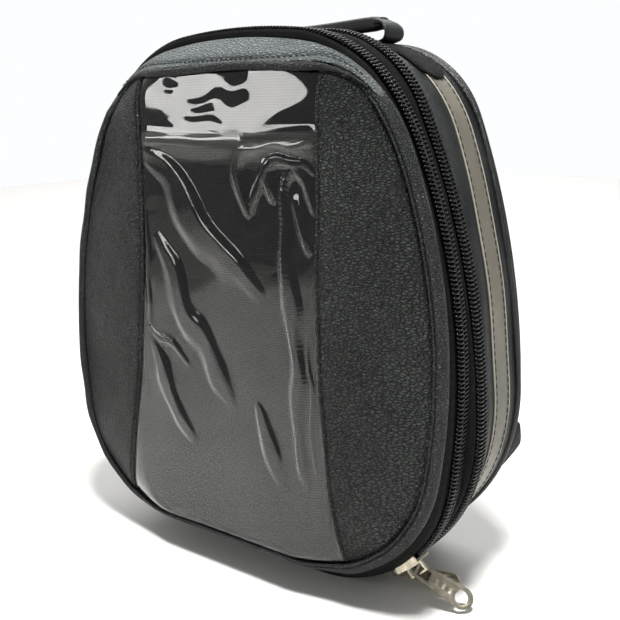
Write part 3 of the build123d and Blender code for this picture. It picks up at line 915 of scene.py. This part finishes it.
def window_relief(xz):
    """Shape of the clear sheet: bulging over the hem, folded below it, smooth towards the bottom edge."""
    x, z = xz[..., 0], xz[..., 1]
    wander = np.stack([waves(x, z, 0.035, 21), waves(x, z, 0.035, 22)], -1)
    warped = xz + 1.6 * MM * wander
    total = 0.35 * MM * waves(x * 1.5, z, 0.06, 17)
    for shape in FOLDS:
        rise = fold(warped, *shape)
        total = np.maximum(total, rise) + 0.25 * np.minimum(total, rise)
    below = np.clip((HEM_Z + 2 * MM - z) / (7 * MM), 0, 1)
    total = total * below * np.clip((z - 56 * MM) / (22 * MM), 0, 1)
    rise = (z - HEM_Z) / (BAND_Z - HEM_Z)
    lap = np.clip(rise, 0, 1)
    hump = 1.6 * MM * (1 - lap) + 0.5 * MM * np.exp(-(lap / 0.13) ** 2)
    hump = np.where(rise >= 0, hump, 2.1 * MM * np.exp(-((HEM_Z - z) / (9 * MM)) ** 2))
    rounded = HEM_Z + (3 + 17 * ((x + 6 * MM) / (58 * MM)) ** 2) * MM + 1.5 * MM * wander[..., 0]
    under = np.clip(rounded - z, 0, 1)
    hump = hump - 0.11 * (np.hypot(under, 3 * MM) - 3 * MM) * np.clip(rise / 0.2, 0, 1)
    for (cx, cz), (wide, high), slope in DENTS:
        dx = x - cx * MM + 3.5 * MM * wander[..., 0]
        dz = z - cz * MM + 2.5 * MM * wander[..., 1]
        mask = 1 / (1 + ((dx / (wide * MM)) ** 2 + (dz / (high * MM)) ** 2) ** 3)
        hump = hump - slope * dz * mask * (rise > 0)
    edge = np.clip((seam_x(z) + 1 * MM - np.abs(x)) / (7 * MM), 0, 1)
    top = np.clip((BAND_Z + 2 * MM - z) / (5 * MM), 0, 1)
    return np.maximum((total + hump) * edge ** 0.7 * top, -0.9 * MM)


def make_window():
    rows, cols = 420, 220
    right = seam_line(rows, 2.0 * MM)
    left = mirrored(right)
    bottom = evenly(np.roll(RIM, FOOT_INDEX, 0)[:2 * FOOT_INDEX + 1], cols)
    bottom[0], bottom[-1] = left[0], right[0]
    top = np.column_stack([np.linspace(left[-1][0], right[-1][0], cols), np.full(cols, right[-1][1])])
    xz = coons(bottom, top, left, right)
    front = on_front(xz, 0.35 * MM + window_relief(xz))
    sheet = plate("clear_window", front, 0.45 * MM)
    settle(sheet, CLEAR, "clear_sheet", "lid", "window_sheet")
    coarse = xz[::4, ::4]
    flat = on_front(coarse, -1.6 * MM)
    backing = plate("pocket_backing", flat, 0.8 * MM)
    settle(backing, BACKING_CLOTH, "black_fabric", "lid", "window_backing")
    make_hem()


def make_hem():
    x = np.linspace(-SEAM_NARROW, SEAM_NARROW, 160)
    rows = np.linspace(-4.2 * MM, 4.2 * MM, 12)
    z = HEM_Z + rows[:, None] + 0.5 * MM * ripple(x, 0.06, 31)[None]
    xz = np.stack([np.broadcast_to(x, z.shape), z], -1)
    relief = window_relief(xz)
    front = on_front(xz, relief - 0.35 * MM)
    strip = plate("pocket_hem", front, 0.5 * MM)
    settle(strip, HEM, "hem_tape", "lid", "window_hem")
    lines = []
    for dz in (-0.9 * MM, 1.5 * MM, 2.6 * MM):
        line = np.column_stack([x, np.full(len(x), HEM_Z + dz)])[3:-3]
        lines.append(on_front(line, 0.55 * MM + window_relief(line)))
    sew("hem_stitches", lines, HEM_THREAD, "lid", 1.5 * MM, 1.1 * MM, 0.16 * MM)


TAPE_Y = [float(v) for v in (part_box("main_tape_lid")[0].y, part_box("main_tape_body")[1].y)]
MAIN_Y = sum(TAPE_Y) / 2
SECOND_TAPE_Y = [float(v) for v in (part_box("expansion_tape_front")[0].y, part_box("expansion_tape_back")[1].y)]
SECOND_Y = sum(SECOND_TAPE_Y) / 2
HINGE_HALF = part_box("lid_hinge_fabric")[1].x


def make_lid_sides():
    """Black gusset between the rim and the zip, and the lid's inner lining."""
    edge = float(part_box("lid_gusset")[1].y)
    rim = rim_y(RIM[:, 1])
    third, half = mix(rim, edge, 0.35), mix(rim, edge, 0.7)
    gusset = band("lid_side_gusset", [
        (RIM, -0.4 * MM, rim + 1.5 * MM), (mix(RIM, MAIN, 0.35), 0.5 * MM, third),
        (mix(RIM, MAIN, 0.7), 0.5 * MM, half), (MAIN, 0.1 * MM, edge - 0.4 * MM),
        (MAIN, -0.6 * MM, edge), (MAIN, -1.2 * MM, edge - 0.4 * MM),
        (mix(RIM, MAIN, 0.7), -0.7 * MM, half), (mix(RIM, MAIN, 0.35), -0.7 * MM, third),
        (RIM, -1.8 * MM, rim + 1.5 * MM),
    ], wave=0.25 * MM, wave_size=0.03, seed=40)
    settle(gusset, BLACK_CLOTH, "black_fabric", "lid", "lid_gusset")
    inset = 5.2 * MM
    wall = band("lid_lining_wall", [
        (MAIN, -inset, edge - 0.3 * MM), (mix(RIM, MAIN, 0.5), -inset - 0.6 * MM, mix(rim, edge, 0.5)),
        (RIM, -inset - 1.2 * MM, rim + 0.6 * MM), (RIM, -inset - 1.8 * MM, rim + 1.2 * MM),
        (mix(RIM, MAIN, 0.5), -inset - 1.4 * MM, mix(rim, edge, 0.5)),
        (MAIN, -inset - 0.8 * MM, edge - 0.3 * MM),
    ], wave=0.3 * MM, wave_size=0.04, seed=41)
    settle(wall, GREY_LINING, "lining", "lid", "lid_foam")
    ring = RIM - normals(RIM) * (inset + 1.2 * MM)
    xz = panel_inside(ring)
    front = on_front(xz, -5.8 * MM + 0.35 * MM * rumple(xz, 0.05, 43))
    lining = plate("lid_lining_face", front, 0.7 * MM)
    settle(lining, GREY_LINING, "lining", "lid", "lid_lining")


# ---- zips ----------------------------------------------------------------------------
COIL_HALF_WIDTH = 2.35 * MM
COIL_MIDDLE = 2.05 * MM     # from the zip's centre line to the middle of one half
COIL_HEIGHT = 0.85 * MM
WIRE = 0.5 * MM
STEPS = 14                  # points per turn of a coil
SLIDER_BAY = 9.6 * MM       # stretch without teeth in front of a slider


def track(ring):
    """Closed outline with its distances and normals, for reading anywhere along it."""
    closed = np.vstack([ring, ring[:1]])
    n = normals(ring)
    return lengths(closed), closed, np.vstack([n, n[:1]])


def along(ring, s, out, y):
    """Points at distances s round an outline."""
    at, line, n = track(ring)
    s = np.mod(s, at[-1])
    p = np.column_stack([np.interp(s, at, line[:, k]) for k in range(2)])
    m = np.column_stack([np.interp(s, at, n[:, k]) for k in range(2)])
    p = p + m * np.reshape(out, (-1, 1))
    return np.column_stack([p[:, 0], np.broadcast_to(y, len(p)), p[:, 1]])


def coil(name, ring, y, side, start, end):
    """Half of a coil zip: one flat spring whose turns lie side by side along the tape."""
    turns = math.floor((end - start) / PITCH)
    t = np.arange(turns * STEPS) / STEPS
    phase = 2 * math.pi * t
    c, z = np.cos(phase), np.sin(phase)
    across = COIL_MIDDLE - COIL_HALF_WIDTH * squared(c, 0.75)
    out = 0.75 * MM + COIL_HEIGHT * squared(z, 0.8)
    s = start + (t + (0.5 if side > 0 else 0.0)) * PITCH
    path = along(ring, s, out, y + side * across)
    ahead = along(ring, s + 0.5 * MM, out, y + side * across)
    behind = along(ring, s - 0.5 * MM, out, y + side * across)
    swell = 1 + 0.4 * np.clip(c, 0, 1) ** 2
    return tube(name, path, WIRE * swell, 6, ahead - behind)


def coil_stitches(name, ring, y, side, start, end):
    """Thread that sews a coil half to its tape, one stitch between each pair of turns."""
    s = np.arange(start, end, 3 * MM)
    line = along(ring, s, 1.35 * MM, y + side * 3.3 * MM)
    return stitches(name, [line], PITCH, 1.7 * MM, 0.24 * MM)


def tape(name, ring, y, side, width, start=None, end=None):
    """Zip tape half under its coil; a stretch of the outline, or all of it."""
    edge = y + side * width
    profile = [(-0.95, y + side * 0.9 * MM), (-0.8, y + side * 3.4 * MM), (-0.75, mix(y, edge, 0.9)),
               (-0.8, edge), (-1.5, edge), (-1.6, mix(y, edge, 0.6)), (-1.6, y + side * 0.9 * MM)]
    lines = np.stack([loop(ring, out * MM, at) for out, at in profile])
    if start is None:
        return grid(name, lines, wrap_rows=True, wrap_cols=True)
    step = lengths(np.vstack([ring, ring[:1]]))[-1] / ROUND
    part = stretch(lines, round(start / step), round(end / step))
    return grid(name, part, wrap_rows=True)


def slider_at(node, ring):
    """Distance round an outline at which a slider stands."""
    x, _, z = [(a + b) / 2 for a, b in zip(*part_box(node))]
    return place(ring, x, z) * track(ring)[0][-1] / ROUND


def make_zip_half(name, body, ring, y, side, teeth, cloth, nodes):
    """Teeth and their sewing thread from one distance to another, and the tape under them."""
    settle(coil(name, ring, y, side, *teeth), COIL, "zip_coil", body, nodes[0])
    row = coil_stitches(name + "_thread", ring, y, side, *teeth)
    settle(row, THREAD, "zip_tape", body)
    strip = tape(name + "_tape", ring, y, side, *cloth)
    settle(strip, TAPE, "zip_tape", body, nodes[1])


def make_zips():
    total = track(MAIN)[0][-1]
    low_right = place(MAIN, HINGE_HALF, 0.0) * total / ROUND
    near, far = low_right + 1 * MM, total - low_right
    cloth = (6.4 * MM, near, far)
    make_zip_half("main_teeth_lid", "lid", MAIN, MAIN_Y, -1,
                  (slider_at("main_slider", MAIN) + SLIDER_BAY, far), cloth,
                  ("main_coil_lid", "main_tape_lid"))
    make_zip_half("main_teeth_body", "front_section", MAIN, MAIN_Y, 1,
                  (near, far), cloth, ("main_coil_body", "main_tape_body"))
    total = track(SECOND)[0][-1]
    start = slider_at("expansion_slider", SECOND)
    cloth = (6.2 * MM,)
    make_zip_half("expansion_teeth_front", "front_section", SECOND, SECOND_Y, -1,
                  (start + SLIDER_BAY, start - SLIDER_BAY + total), cloth,
                  ("expansion_coil_front", "expansion_tape_front"))
    make_zip_half("expansion_teeth_back", "bag_body", SECOND, SECOND_Y, 1,
                  (start, start + total), cloth, ("expansion_coil_back", "expansion_tape_back"))


def make_front_section():
    """Narrow band between the two zips, and the lid's fabric hinge below them."""
    y0, y1 = TAPE_Y[1] - 0.6 * MM, SECOND_TAPE_Y[0] + 0.6 * MM
    middle = mix(MAIN, SECOND, 0.5)
    piece = band("middle_band_cloth", [
        (MAIN, -0.6 * MM, y0), (MAIN, 0.35 * MM, y0 + 0.5 * MM), (middle, 0.9 * MM, (y0 + y1) / 2),
        (SECOND, 0.35 * MM, y1 - 0.5 * MM), (SECOND, -0.6 * MM, y1), (middle, -0.9 * MM, (y0 + y1) / 2),
    ], wave=0.12 * MM, wave_size=0.03, seed=50)
    settle(piece, BAND_CLOTH, "black_fabric", "front_section", "middle_band")
    reach = place(MAIN, HINGE_HALF, 0.0)
    low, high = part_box("lid_hinge_fabric")
    ys = np.linspace(low.y - 1.2 * MM, high.y + 0.8 * MM, 22)
    sag = np.sin(np.linspace(0, math.pi, 22)) * 0.5 * MM
    outer = [loop(MAIN, 0.1 * MM + s, y) for y, s in zip(ys, sag)]
    inner = [loop(MAIN, -0.9 * MM + s, y) for y, s in zip(ys[::-1], sag)]
    lines = stretch(np.stack(outer + inner), ROUND - reach, ROUND + reach)
    hinge = grid("hinge_cloth", lines, wrap_rows=True)
    settle(hinge, TAPE, "black_fabric",
           ("front_section", "lid", (0, high.y, low.z), (0, low.y, low.z)), "lid_hinge_fabric")


def make_expansion_gusset():
    """Pleated cloth that the expansion zip hides, sewn to both of its tapes."""
    low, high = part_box("expansion_gusset")
    count = 26
    share = np.linspace(0, 1, count)
    y = SECOND_Y + (share - 0.5) * (high.y - low.y) * 0.92
    fold = np.abs(((share * 3) % 1) * 2 - 1)
    ends = np.clip(np.minimum(share, 1 - share) / 0.08, 0, 1)
    inset = mix(2.4 * MM, 7.2 * MM + 6.0 * MM * (1 - fold), ends)
    outer = [loop(SECOND, -i, at) for i, at in zip(inset, y)]
    inner = [loop(SECOND, -i - 0.6 * MM, at) for i, at in zip(inset[::-1], y[::-1])]
    piece = grid("gusset_pleats", np.stack(outer + inner), wrap_rows=True, wrap_cols=True)
    settle(piece, BLACK_CLOTH, "black_fabric",
           ("bag_body", "front_section", (0, high.y, 0.1), (0, low.y, 0.1)), "expansion_gusset")


# ---- body ----------------------------------------------------------------------------
# the wall and the strip on it are uneven together
STRIP_WAVE, STRIP_WAVE_SIZE, STRIP_SEED = 0.35 * MM, 0.07, 60


def make_walls():
    low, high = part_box("side_wall")
    strip_low, strip_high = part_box("reflective_strip")
    straight = strip_low.y - 2.6 * MM
    wall = band("side_wall_leather", [
        (SECOND, -0.5 * MM, low.y - 0.3 * MM), (SECOND, 0.4 * MM, low.y + 0.2 * MM),
        (mix(SECOND, SIDE, 0.5), 0.6 * MM, (low.y + straight) / 2), (SIDE, 0.4 * MM, straight),
        (SIDE, 0.0, strip_low.y + 1 * MM), (SIDE, 0.0, (strip_low.y + strip_high.y) / 2),
        (SIDE, 0.0, strip_high.y), (SIDE, 0.5 * MM, strip_high.y + 3 * MM),
        (SIDE, 0.3 * MM, high.y - 0.6 * MM),
        (SIDE, -0.7 * MM, high.y), (SIDE, -1.4 * MM, high.y - 0.5 * MM), (SIDE, -1.2 * MM, straight),
        (mix(SECOND, SIDE, 0.5), -0.9 * MM, (low.y + straight) / 2),
    ], wave=STRIP_WAVE, wave_size=STRIP_WAVE_SIZE, seed=STRIP_SEED)
    settle(wall, WALL_LEATHER, "smooth_leathercloth", "bag_body", "side_wall")
    a, b = strip_low.y, strip_high.y
    strip = band("reflective_band", [
        (SIDE, 0.1 * MM, a), (SIDE, 0.75 * MM, a + 0.25 * MM), (SIDE, 0.7 * MM, mix(a, b, 0.2)),
        (SIDE, 0.85 * MM, mix(a, b, 0.5)), (SIDE, 0.7 * MM, mix(a, b, 0.8)), (SIDE, 0.75 * MM, b - 0.25 * MM),
        (SIDE, 0.1 * MM, b),
    ], wave=STRIP_WAVE, wave_size=STRIP_WAVE_SIZE, seed=STRIP_SEED)
    settle(strip, STRIP, "reflective_tape", "bag_body", "reflective_strip")
    wave = STRIP_WAVE * ripple(round_the_bag(MAIN), STRIP_WAVE_SIZE, STRIP_SEED)
    lines = []
    for y in (a + 2.1 * MM, b - 2.1 * MM):
        line = loop(SIDE, 0.85 * MM + wave, y)
        lines.append(np.vstack([line, line[:1]]))
    sew("strip_stitches", lines, TAPE_THREAD, "bag_body", 4.3 * MM, 3.3 * MM, 0.36 * MM)
    for name, y in (("strip_edge_front", a + 0.5 * MM), ("strip_edge_rear", b - 0.5 * MM)):
        edge = tube(name, loop(SIDE, 0.7 * MM + wave, y), 0.42 * MM, 8, closed=True)
        settle(edge, TAPE_EDGE, "reflective_tape", "bag_body")


def make_rear():
    low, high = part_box("rear_piping")
    middle, radius = (low.y + high.y) / 2, (high.y - low.y) / 2 * 1.15
    s = np.arange(ROUND)
    line = loop(SIDE, 0.4 * MM, middle)
    cord = tube("rear_piping_cord", line, radius * (1 + 0.05 * ripple(s, 40, 70)), 14, closed=True)
    settle(cord, PIPING, "mesh", "bag_body", "rear_piping")
    a, b = high.y, float(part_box("rear_mesh_band")[1].y)
    share = np.linspace(0, 1, 8)
    rows = [(mix(SIDE, BACK, t), (0.2 + 0.9 * math.sin(t * math.pi)) * MM, mix(a, b, t)) for t in share]
    rows += [(mix(SIDE, BACK, t), -1.0 * MM, mix(a, b, t)) for t in share[::-1]]
    mesh = band("rear_mesh_wall", rows, wave=0.3 * MM, wave_size=0.05, seed=71)
    settle(mesh, MESH, "mesh", "bag_body", "rear_mesh_band")
    low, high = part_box("back_mesh")
    xz = panel_inside(BACK, 220, 200)
    inside = np.maximum(-gap(BACK, xz), 0)
    depth = high.y - b - 0.4 * MM
    crown = quarter(np.clip(inside / (14 * MM), 0, 1))
    pull_in = 1.6 * MM * np.exp(-((inside - 22 * MM) / (1.6 * MM)) ** 2)
    soft = 0.5 * MM * rumple(xz, 0.09, 72)
    y = b + depth * 0.72 * crown + depth * 0.28 * np.clip(inside / (60 * MM), 0, 1) + soft * crown - pull_in
    outer = at_depth(xz, y)
    inner = np.stack([xz[..., 0] * 0.985, np.minimum(y - 1.2 * MM, b + 1.5 * MM), xz[..., 1]], -1)
    back = slab("back_panel_mesh", outer, inner)
    settle(back, MESH, "mesh", "bag_body", "back_mesh", "back_foam")
    cord = tube("back_binding", loop(BACK, 0.2 * MM, b + 0.2 * MM), 1.5 * MM, 12, closed=True)
    settle(cord, PIPING, "mesh", "bag_body")


def make_inside():
    """Lining of the main compartment, with the stiff board behind it."""
    low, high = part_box("body_lining")
    middle = mix(low.y, high.y, 0.5)
    wall = band("body_lining_wall", [
        (BACK, -4.0 * MM, low.y), (BACK, -3.8 * MM, middle), (BACK, -4.6 * MM, high.y - 2 * MM),
        (BACK, -6.6 * MM, high.y - 0.3 * MM), (BACK, -7.2 * MM, high.y - 0.9 * MM),
        (BACK, -5.4 * MM, high.y - 2.8 * MM), (BACK, -4.8 * MM, middle), (BACK, -4.8 * MM, low.y),
    ], wave=0.5 * MM, wave_size=0.05, seed=80)
    settle(wall, GREY_LINING, "lining", "bag_body", "body_lining")
    xz = panel_inside(BACK - normals(BACK) * 6.4 * MM)
    y = high.y - 0.6 * MM + 0.35 * MM * rumple(xz, 0.06, 81)
    front = at_depth(xz, y)
    face = plate("body_lining_back", front, 0.6 * MM)
    settle(face, GREY_LINING, "lining", "bag_body", "back_board")


# ---- handle and tabs -----------------------------------------------------------------
def strap(name, path, wide, thick, y, bulge=2.6):
    """Strap along an x, z path; wide across Y and thick across the path, both along it."""
    t = unit(np.gradient(path, axis=0))
    n = np.column_stack([-t[:, 1], t[:, 0]])
    rows = []
    for c, s in around(28):
        across = squared(c, 2 / bulge) * wide / 2
        out = squared(s, 2 / bulge) * thick / 2
        p = path + n * out[:, None]
        rows.append(np.column_stack([p[:, 0], y + across, p[:, 1]]))
    return grid(name, np.stack(rows), wrap_rows=True)


def arc_line(points, count):
    """Smooth line near given points."""
    line = evenly(np.array(points, float), count)
    for _ in range(count // 3):
        line[1:-1] = (line[:-2] + 2 * line[1:-1] + line[2:]) / 4
    return line


def make_handle():
    low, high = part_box("handle_grip")
    y, z = (low.y + high.y) / 2, (low.z + high.z) / 2
    half = high.x
    x = np.linspace(-half, half, 120)
    end = np.clip((half - np.abs(x)) / (6 * MM), 0, 1)
    path = np.column_stack([x, z + 0.3 * MM - 2.2 * MM * np.cos(x / half * math.pi / 2) ** 1.4])
    thick = (high.z - low.z) * (0.8 + 0.2 * end) + 0.15 * MM * ripple(x, 0.03, 90)
    grip = strap("grip_fold", path, (high.y - low.y) * (1.0 + 0.12 * (1 - end)), thick, y, 3.2)
    settle(grip, STRAP_LEATHER, "smooth_leathercloth", "handle", "handle_grip")
    legs = ((-1, "handle_leg_left", "leg_strap_left"), (1, "handle_leg_right", "leg_strap_right"))
    for side, node, name in legs:
        leg_low, leg_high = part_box(node)
        inner = min(abs(leg_low.x), abs(leg_high.x))
        outer = max(abs(leg_low.x), abs(leg_high.x))
        foot = leg_low.z
        line = arc_line([
            (inner - 7 * MM, z + 0.3 * MM), (inner - 1 * MM, z + 1.2 * MM), (outer - 3.2 * MM, z - 0.2 * MM),
            (outer - 0.4 * MM, z - 4.2 * MM), (outer - 1.5 * MM, z - 8.2 * MM),
            (inner + 1.2 * MM, foot + 0.6 * MM), (inner - 5 * MM, foot - 0.6 * MM),
        ], 60)
        share = np.linspace(0, 1, 60)
        wide = mix(7.6 * MM, 18 * MM, np.clip(share / 0.45, 0, 1) ** 1.3)
        wide = wide - 6.0 * MM * np.clip((share - 0.62) / 0.3, 0, 1)
        thick = mix(5.2 * MM, 2.1 * MM, np.clip(share / 0.3, 0, 1))
        piece = strap(name, line * [side, 1], wide, thick, y, 4.0)
        settle(piece, STRAP_LEATHER, "smooth_leathercloth",
               ("bag_body", "handle", (0, y, foot + 1 * MM), (0, y, foot + 8 * MM)), node)
    lines = []
    for at in (3 * MM - half, half - 3 * MM):
        y = low.y - 0.2 * MM
        lines.append(arc_line([(at, y, low.z + 0.8 * MM), (at, y, high.z - 0.8 * MM)], 12))
    sew("grip_stitches", lines, THREAD, "handle", 1.9 * MM, 1.4 * MM, 0.25 * MM)


def make_patch():
    """Soft loop-pile patch over the strip's top, rounded at both ends."""
    low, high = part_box("handle_patch")
    right = place(SIDE, high.x, low.z)
    left = ROUND - right
    mid, half = (low.y + high.y) / 2, (high.y - low.y) / 2
    count = left - right + 1
    share = np.linspace(-1, 1, count)
    end = np.clip((1 - np.abs(share)) / 0.09, 0, 1)
    round_end = quarter(end, 0.02)
    lines = []
    rng = np.random.default_rng(96)
    for c, s in around(56):
        across = squared(c, 0.7) * half * round_end
        rise = 1.4 * MM + squared(s, 0.6) * 1.5 * MM * round_end
        at = np.arange(right, left + 1)
        uneven = 0.3 * MM * waves(share * 0.1, share * 0 + c * 0.01, 0.02, 95)
        uneven = uneven + 0.16 * MM * rng.standard_normal(count) * (s > 0)
        ring = SIDE[at] + normals(SIDE)[at] * (rise + uneven)[:, None]
        lines.append(np.column_stack([ring[:, 0], mid + across, ring[:, 1]]))
    piece = grid("handle_pad", np.stack(lines), wrap_rows=True)
    settle(piece, PILE, "mesh", "bag_body", "handle_patch")


def chaikin(polygon, rounds=3):
    """Rounded corners of a closed polygon."""
    for _ in range(rounds):
        ahead = np.roll(polygon, -1, 0)
        corners = np.stack([mix(polygon, ahead, 0.25), mix(polygon, ahead, 0.75)], 1)
        polygon = corners.reshape(-1, polygon.shape[1])
    return polygon


def make_tabs():
    """Webbing tabs low on the back edge, each a doubled triangle of strap."""
    for node, name in (("strap_tab_right", "tab_webbing_right"), ("strap_tab_left", "tab_webbing_left")):
        co = points_of(node)
        centre = co.mean(0)
        axes = np.linalg.svd(co - centre, full_matrices=False)[2]
        flat = (co - centre) @ axes.T
        polygon = chaikin(hull(flat[:, :2]))
        half = np.abs(flat[:, 2]).max()
        rows = []
        for c, s in around(10):
            rows.append((polygon * (0.9 + 0.1 * abs(c) ** 0.5), half * s))
        rows.sort(key=lambda row: row[1])
        points = [np.column_stack([p, np.full(len(p), h)]) @ axes + centre for p, h in rows]
        verts = np.stack(points)
        n = len(polygon)
        corners = quads(len(rows), n, False, True)
        faces = np.stack([a * n + b % n for a, b in corners], -1).reshape(-1, 4).tolist()
        faces += [list(range(n))[::-1], [len(rows) * n - n + k for k in range(n)]]
        local = [polygon[i % n] for f in faces for i in f]
        piece = clean(new_mesh(name, verts.reshape(-1, 3), faces, np.array(local)))
        settle(piece, WEBBING, "webbing", node, node)


# ---- metal ---------------------------------------------------------------------------
def make_metal():
    for node in ("main_slider", "main_pull", "expansion_slider", "expansion_pull"):
        piece = NODES[node]
        piece.data.materials.clear()
        piece.data.materials.append(METAL)
        weld = piece.modifiers.new("weld", "WELD")
        weld.merge_threshold = 0.01 * MM
        bevel = piece.modifiers.new("soft_edges", "BEVEL")
        bevel.width = 0.22 * MM
        bevel.segments = 2
        bevel.limit_method = "ANGLE"
        bevel.angle_limit = math.radians(35)
        bevel.use_clamp_overlap = True
        bevel.harden_normals = True
        shade_smooth(piece.data)


# ---- studio --------------------------------------------------------------------------
BACKDROP_WAY = (-0.61, 0.79, 0.0)     # towards the white backdrop, behind the bag and to its left
ROOM = 0.28                           # light of the rest of the room, as a share of the backdrop's
PAPER = ((-2.4, -2.2, 0), (2.0, -2.2, 0), (2.0, 2.6, 0), (-2.4, 2.6, 0))


def area_light(name, place_at, target, size, power, colour=(1, 1, 1)):
    data = bpy.data.lights.new(name, "AREA")
    data.shape, data.size, data.size_y = "RECTANGLE", size[0], size[1]
    data.energy, data.color = power, colour
    lamp = bpy.data.objects.new(name, data)
    lamp.location = place_at
    lamp.rotation_mode = "QUATERNION"
    lamp.rotation_quaternion = (Vector(target) - Vector(place_at)).to_track_quat("-Z", "Y")
    bpy.context.scene.collection.objects.link(lamp)


def make_world():
    """Soft room light, brightest behind the bag and to its left."""
    world = bpy.data.worlds.new("studio")
    bpy.context.scene.world = world
    world.use_nodes = True
    tree = world.node_tree
    towards = tree.nodes.new("ShaderNodeTexCoord").outputs["Generated"]
    dot = tree.nodes.new("ShaderNodeVectorMath")
    dot.operation = "DOT_PRODUCT"
    dot.inputs[1].default_value = BACKDROP_WAY
    tree.links.new(towards, dot.inputs[0])
    level = tree.nodes.new("ShaderNodeMapRange")
    level.interpolation_type = "SMOOTHSTEP"
    for key, number in (("From Min", 0.4), ("From Max", 0.86), ("To Min", ROOM), ("To Max", 1.0)):
        level.inputs[key].default_value = number
    tree.links.new(dot.outputs["Value"], level.inputs["Value"])
    background = tree.nodes["Background"]
    background.inputs["Color"].default_value = (0.98, 0.99, 1.0, 1)
    tree.links.new(level.outputs["Result"], background.inputs["Strength"])


def make_studio():
    make_world()
    bpy.context.scene.view_settings.view_transform = "Standard"
    floor = new_mesh("floor", np.array(PAPER, float), [[0, 1, 2, 3]])
    paper = Surface("floor_paper", (0.82, 0.81, 0.79), 0.8)
    paper.colours(paper.noise(3, 3), (0.80, 0.79, 0.77), (0.84, 0.83, 0.81))
    floor.data.materials.append(paper.material)
    middle = (0, 0, 0.15)
    area_light("ceiling", (-1.4, 1.9, 2.3), (-1.4, 1.9, 0), (3.0, 3.0), 72)
    area_light("key", (0.3, -0.3, 1.3), middle, (0.22, 0.22), 28)
    area_light("left_window", (-0.95, -1.15, 0.5), middle, (0.75, 0.22), 4.2, (1.0, 0.99, 0.97))


def main():
    make_side_panels()
    make_top_band()
    make_rim_welt()
    make_seam_stitches()
    make_window()
    make_lid_sides()
    make_zips()
    make_front_section()
    make_expansion_gusset()
    make_walls()
    make_rear()
    make_inside()
    make_handle()
    make_patch()
    make_tabs()
    make_metal()
    make_studio()


main()
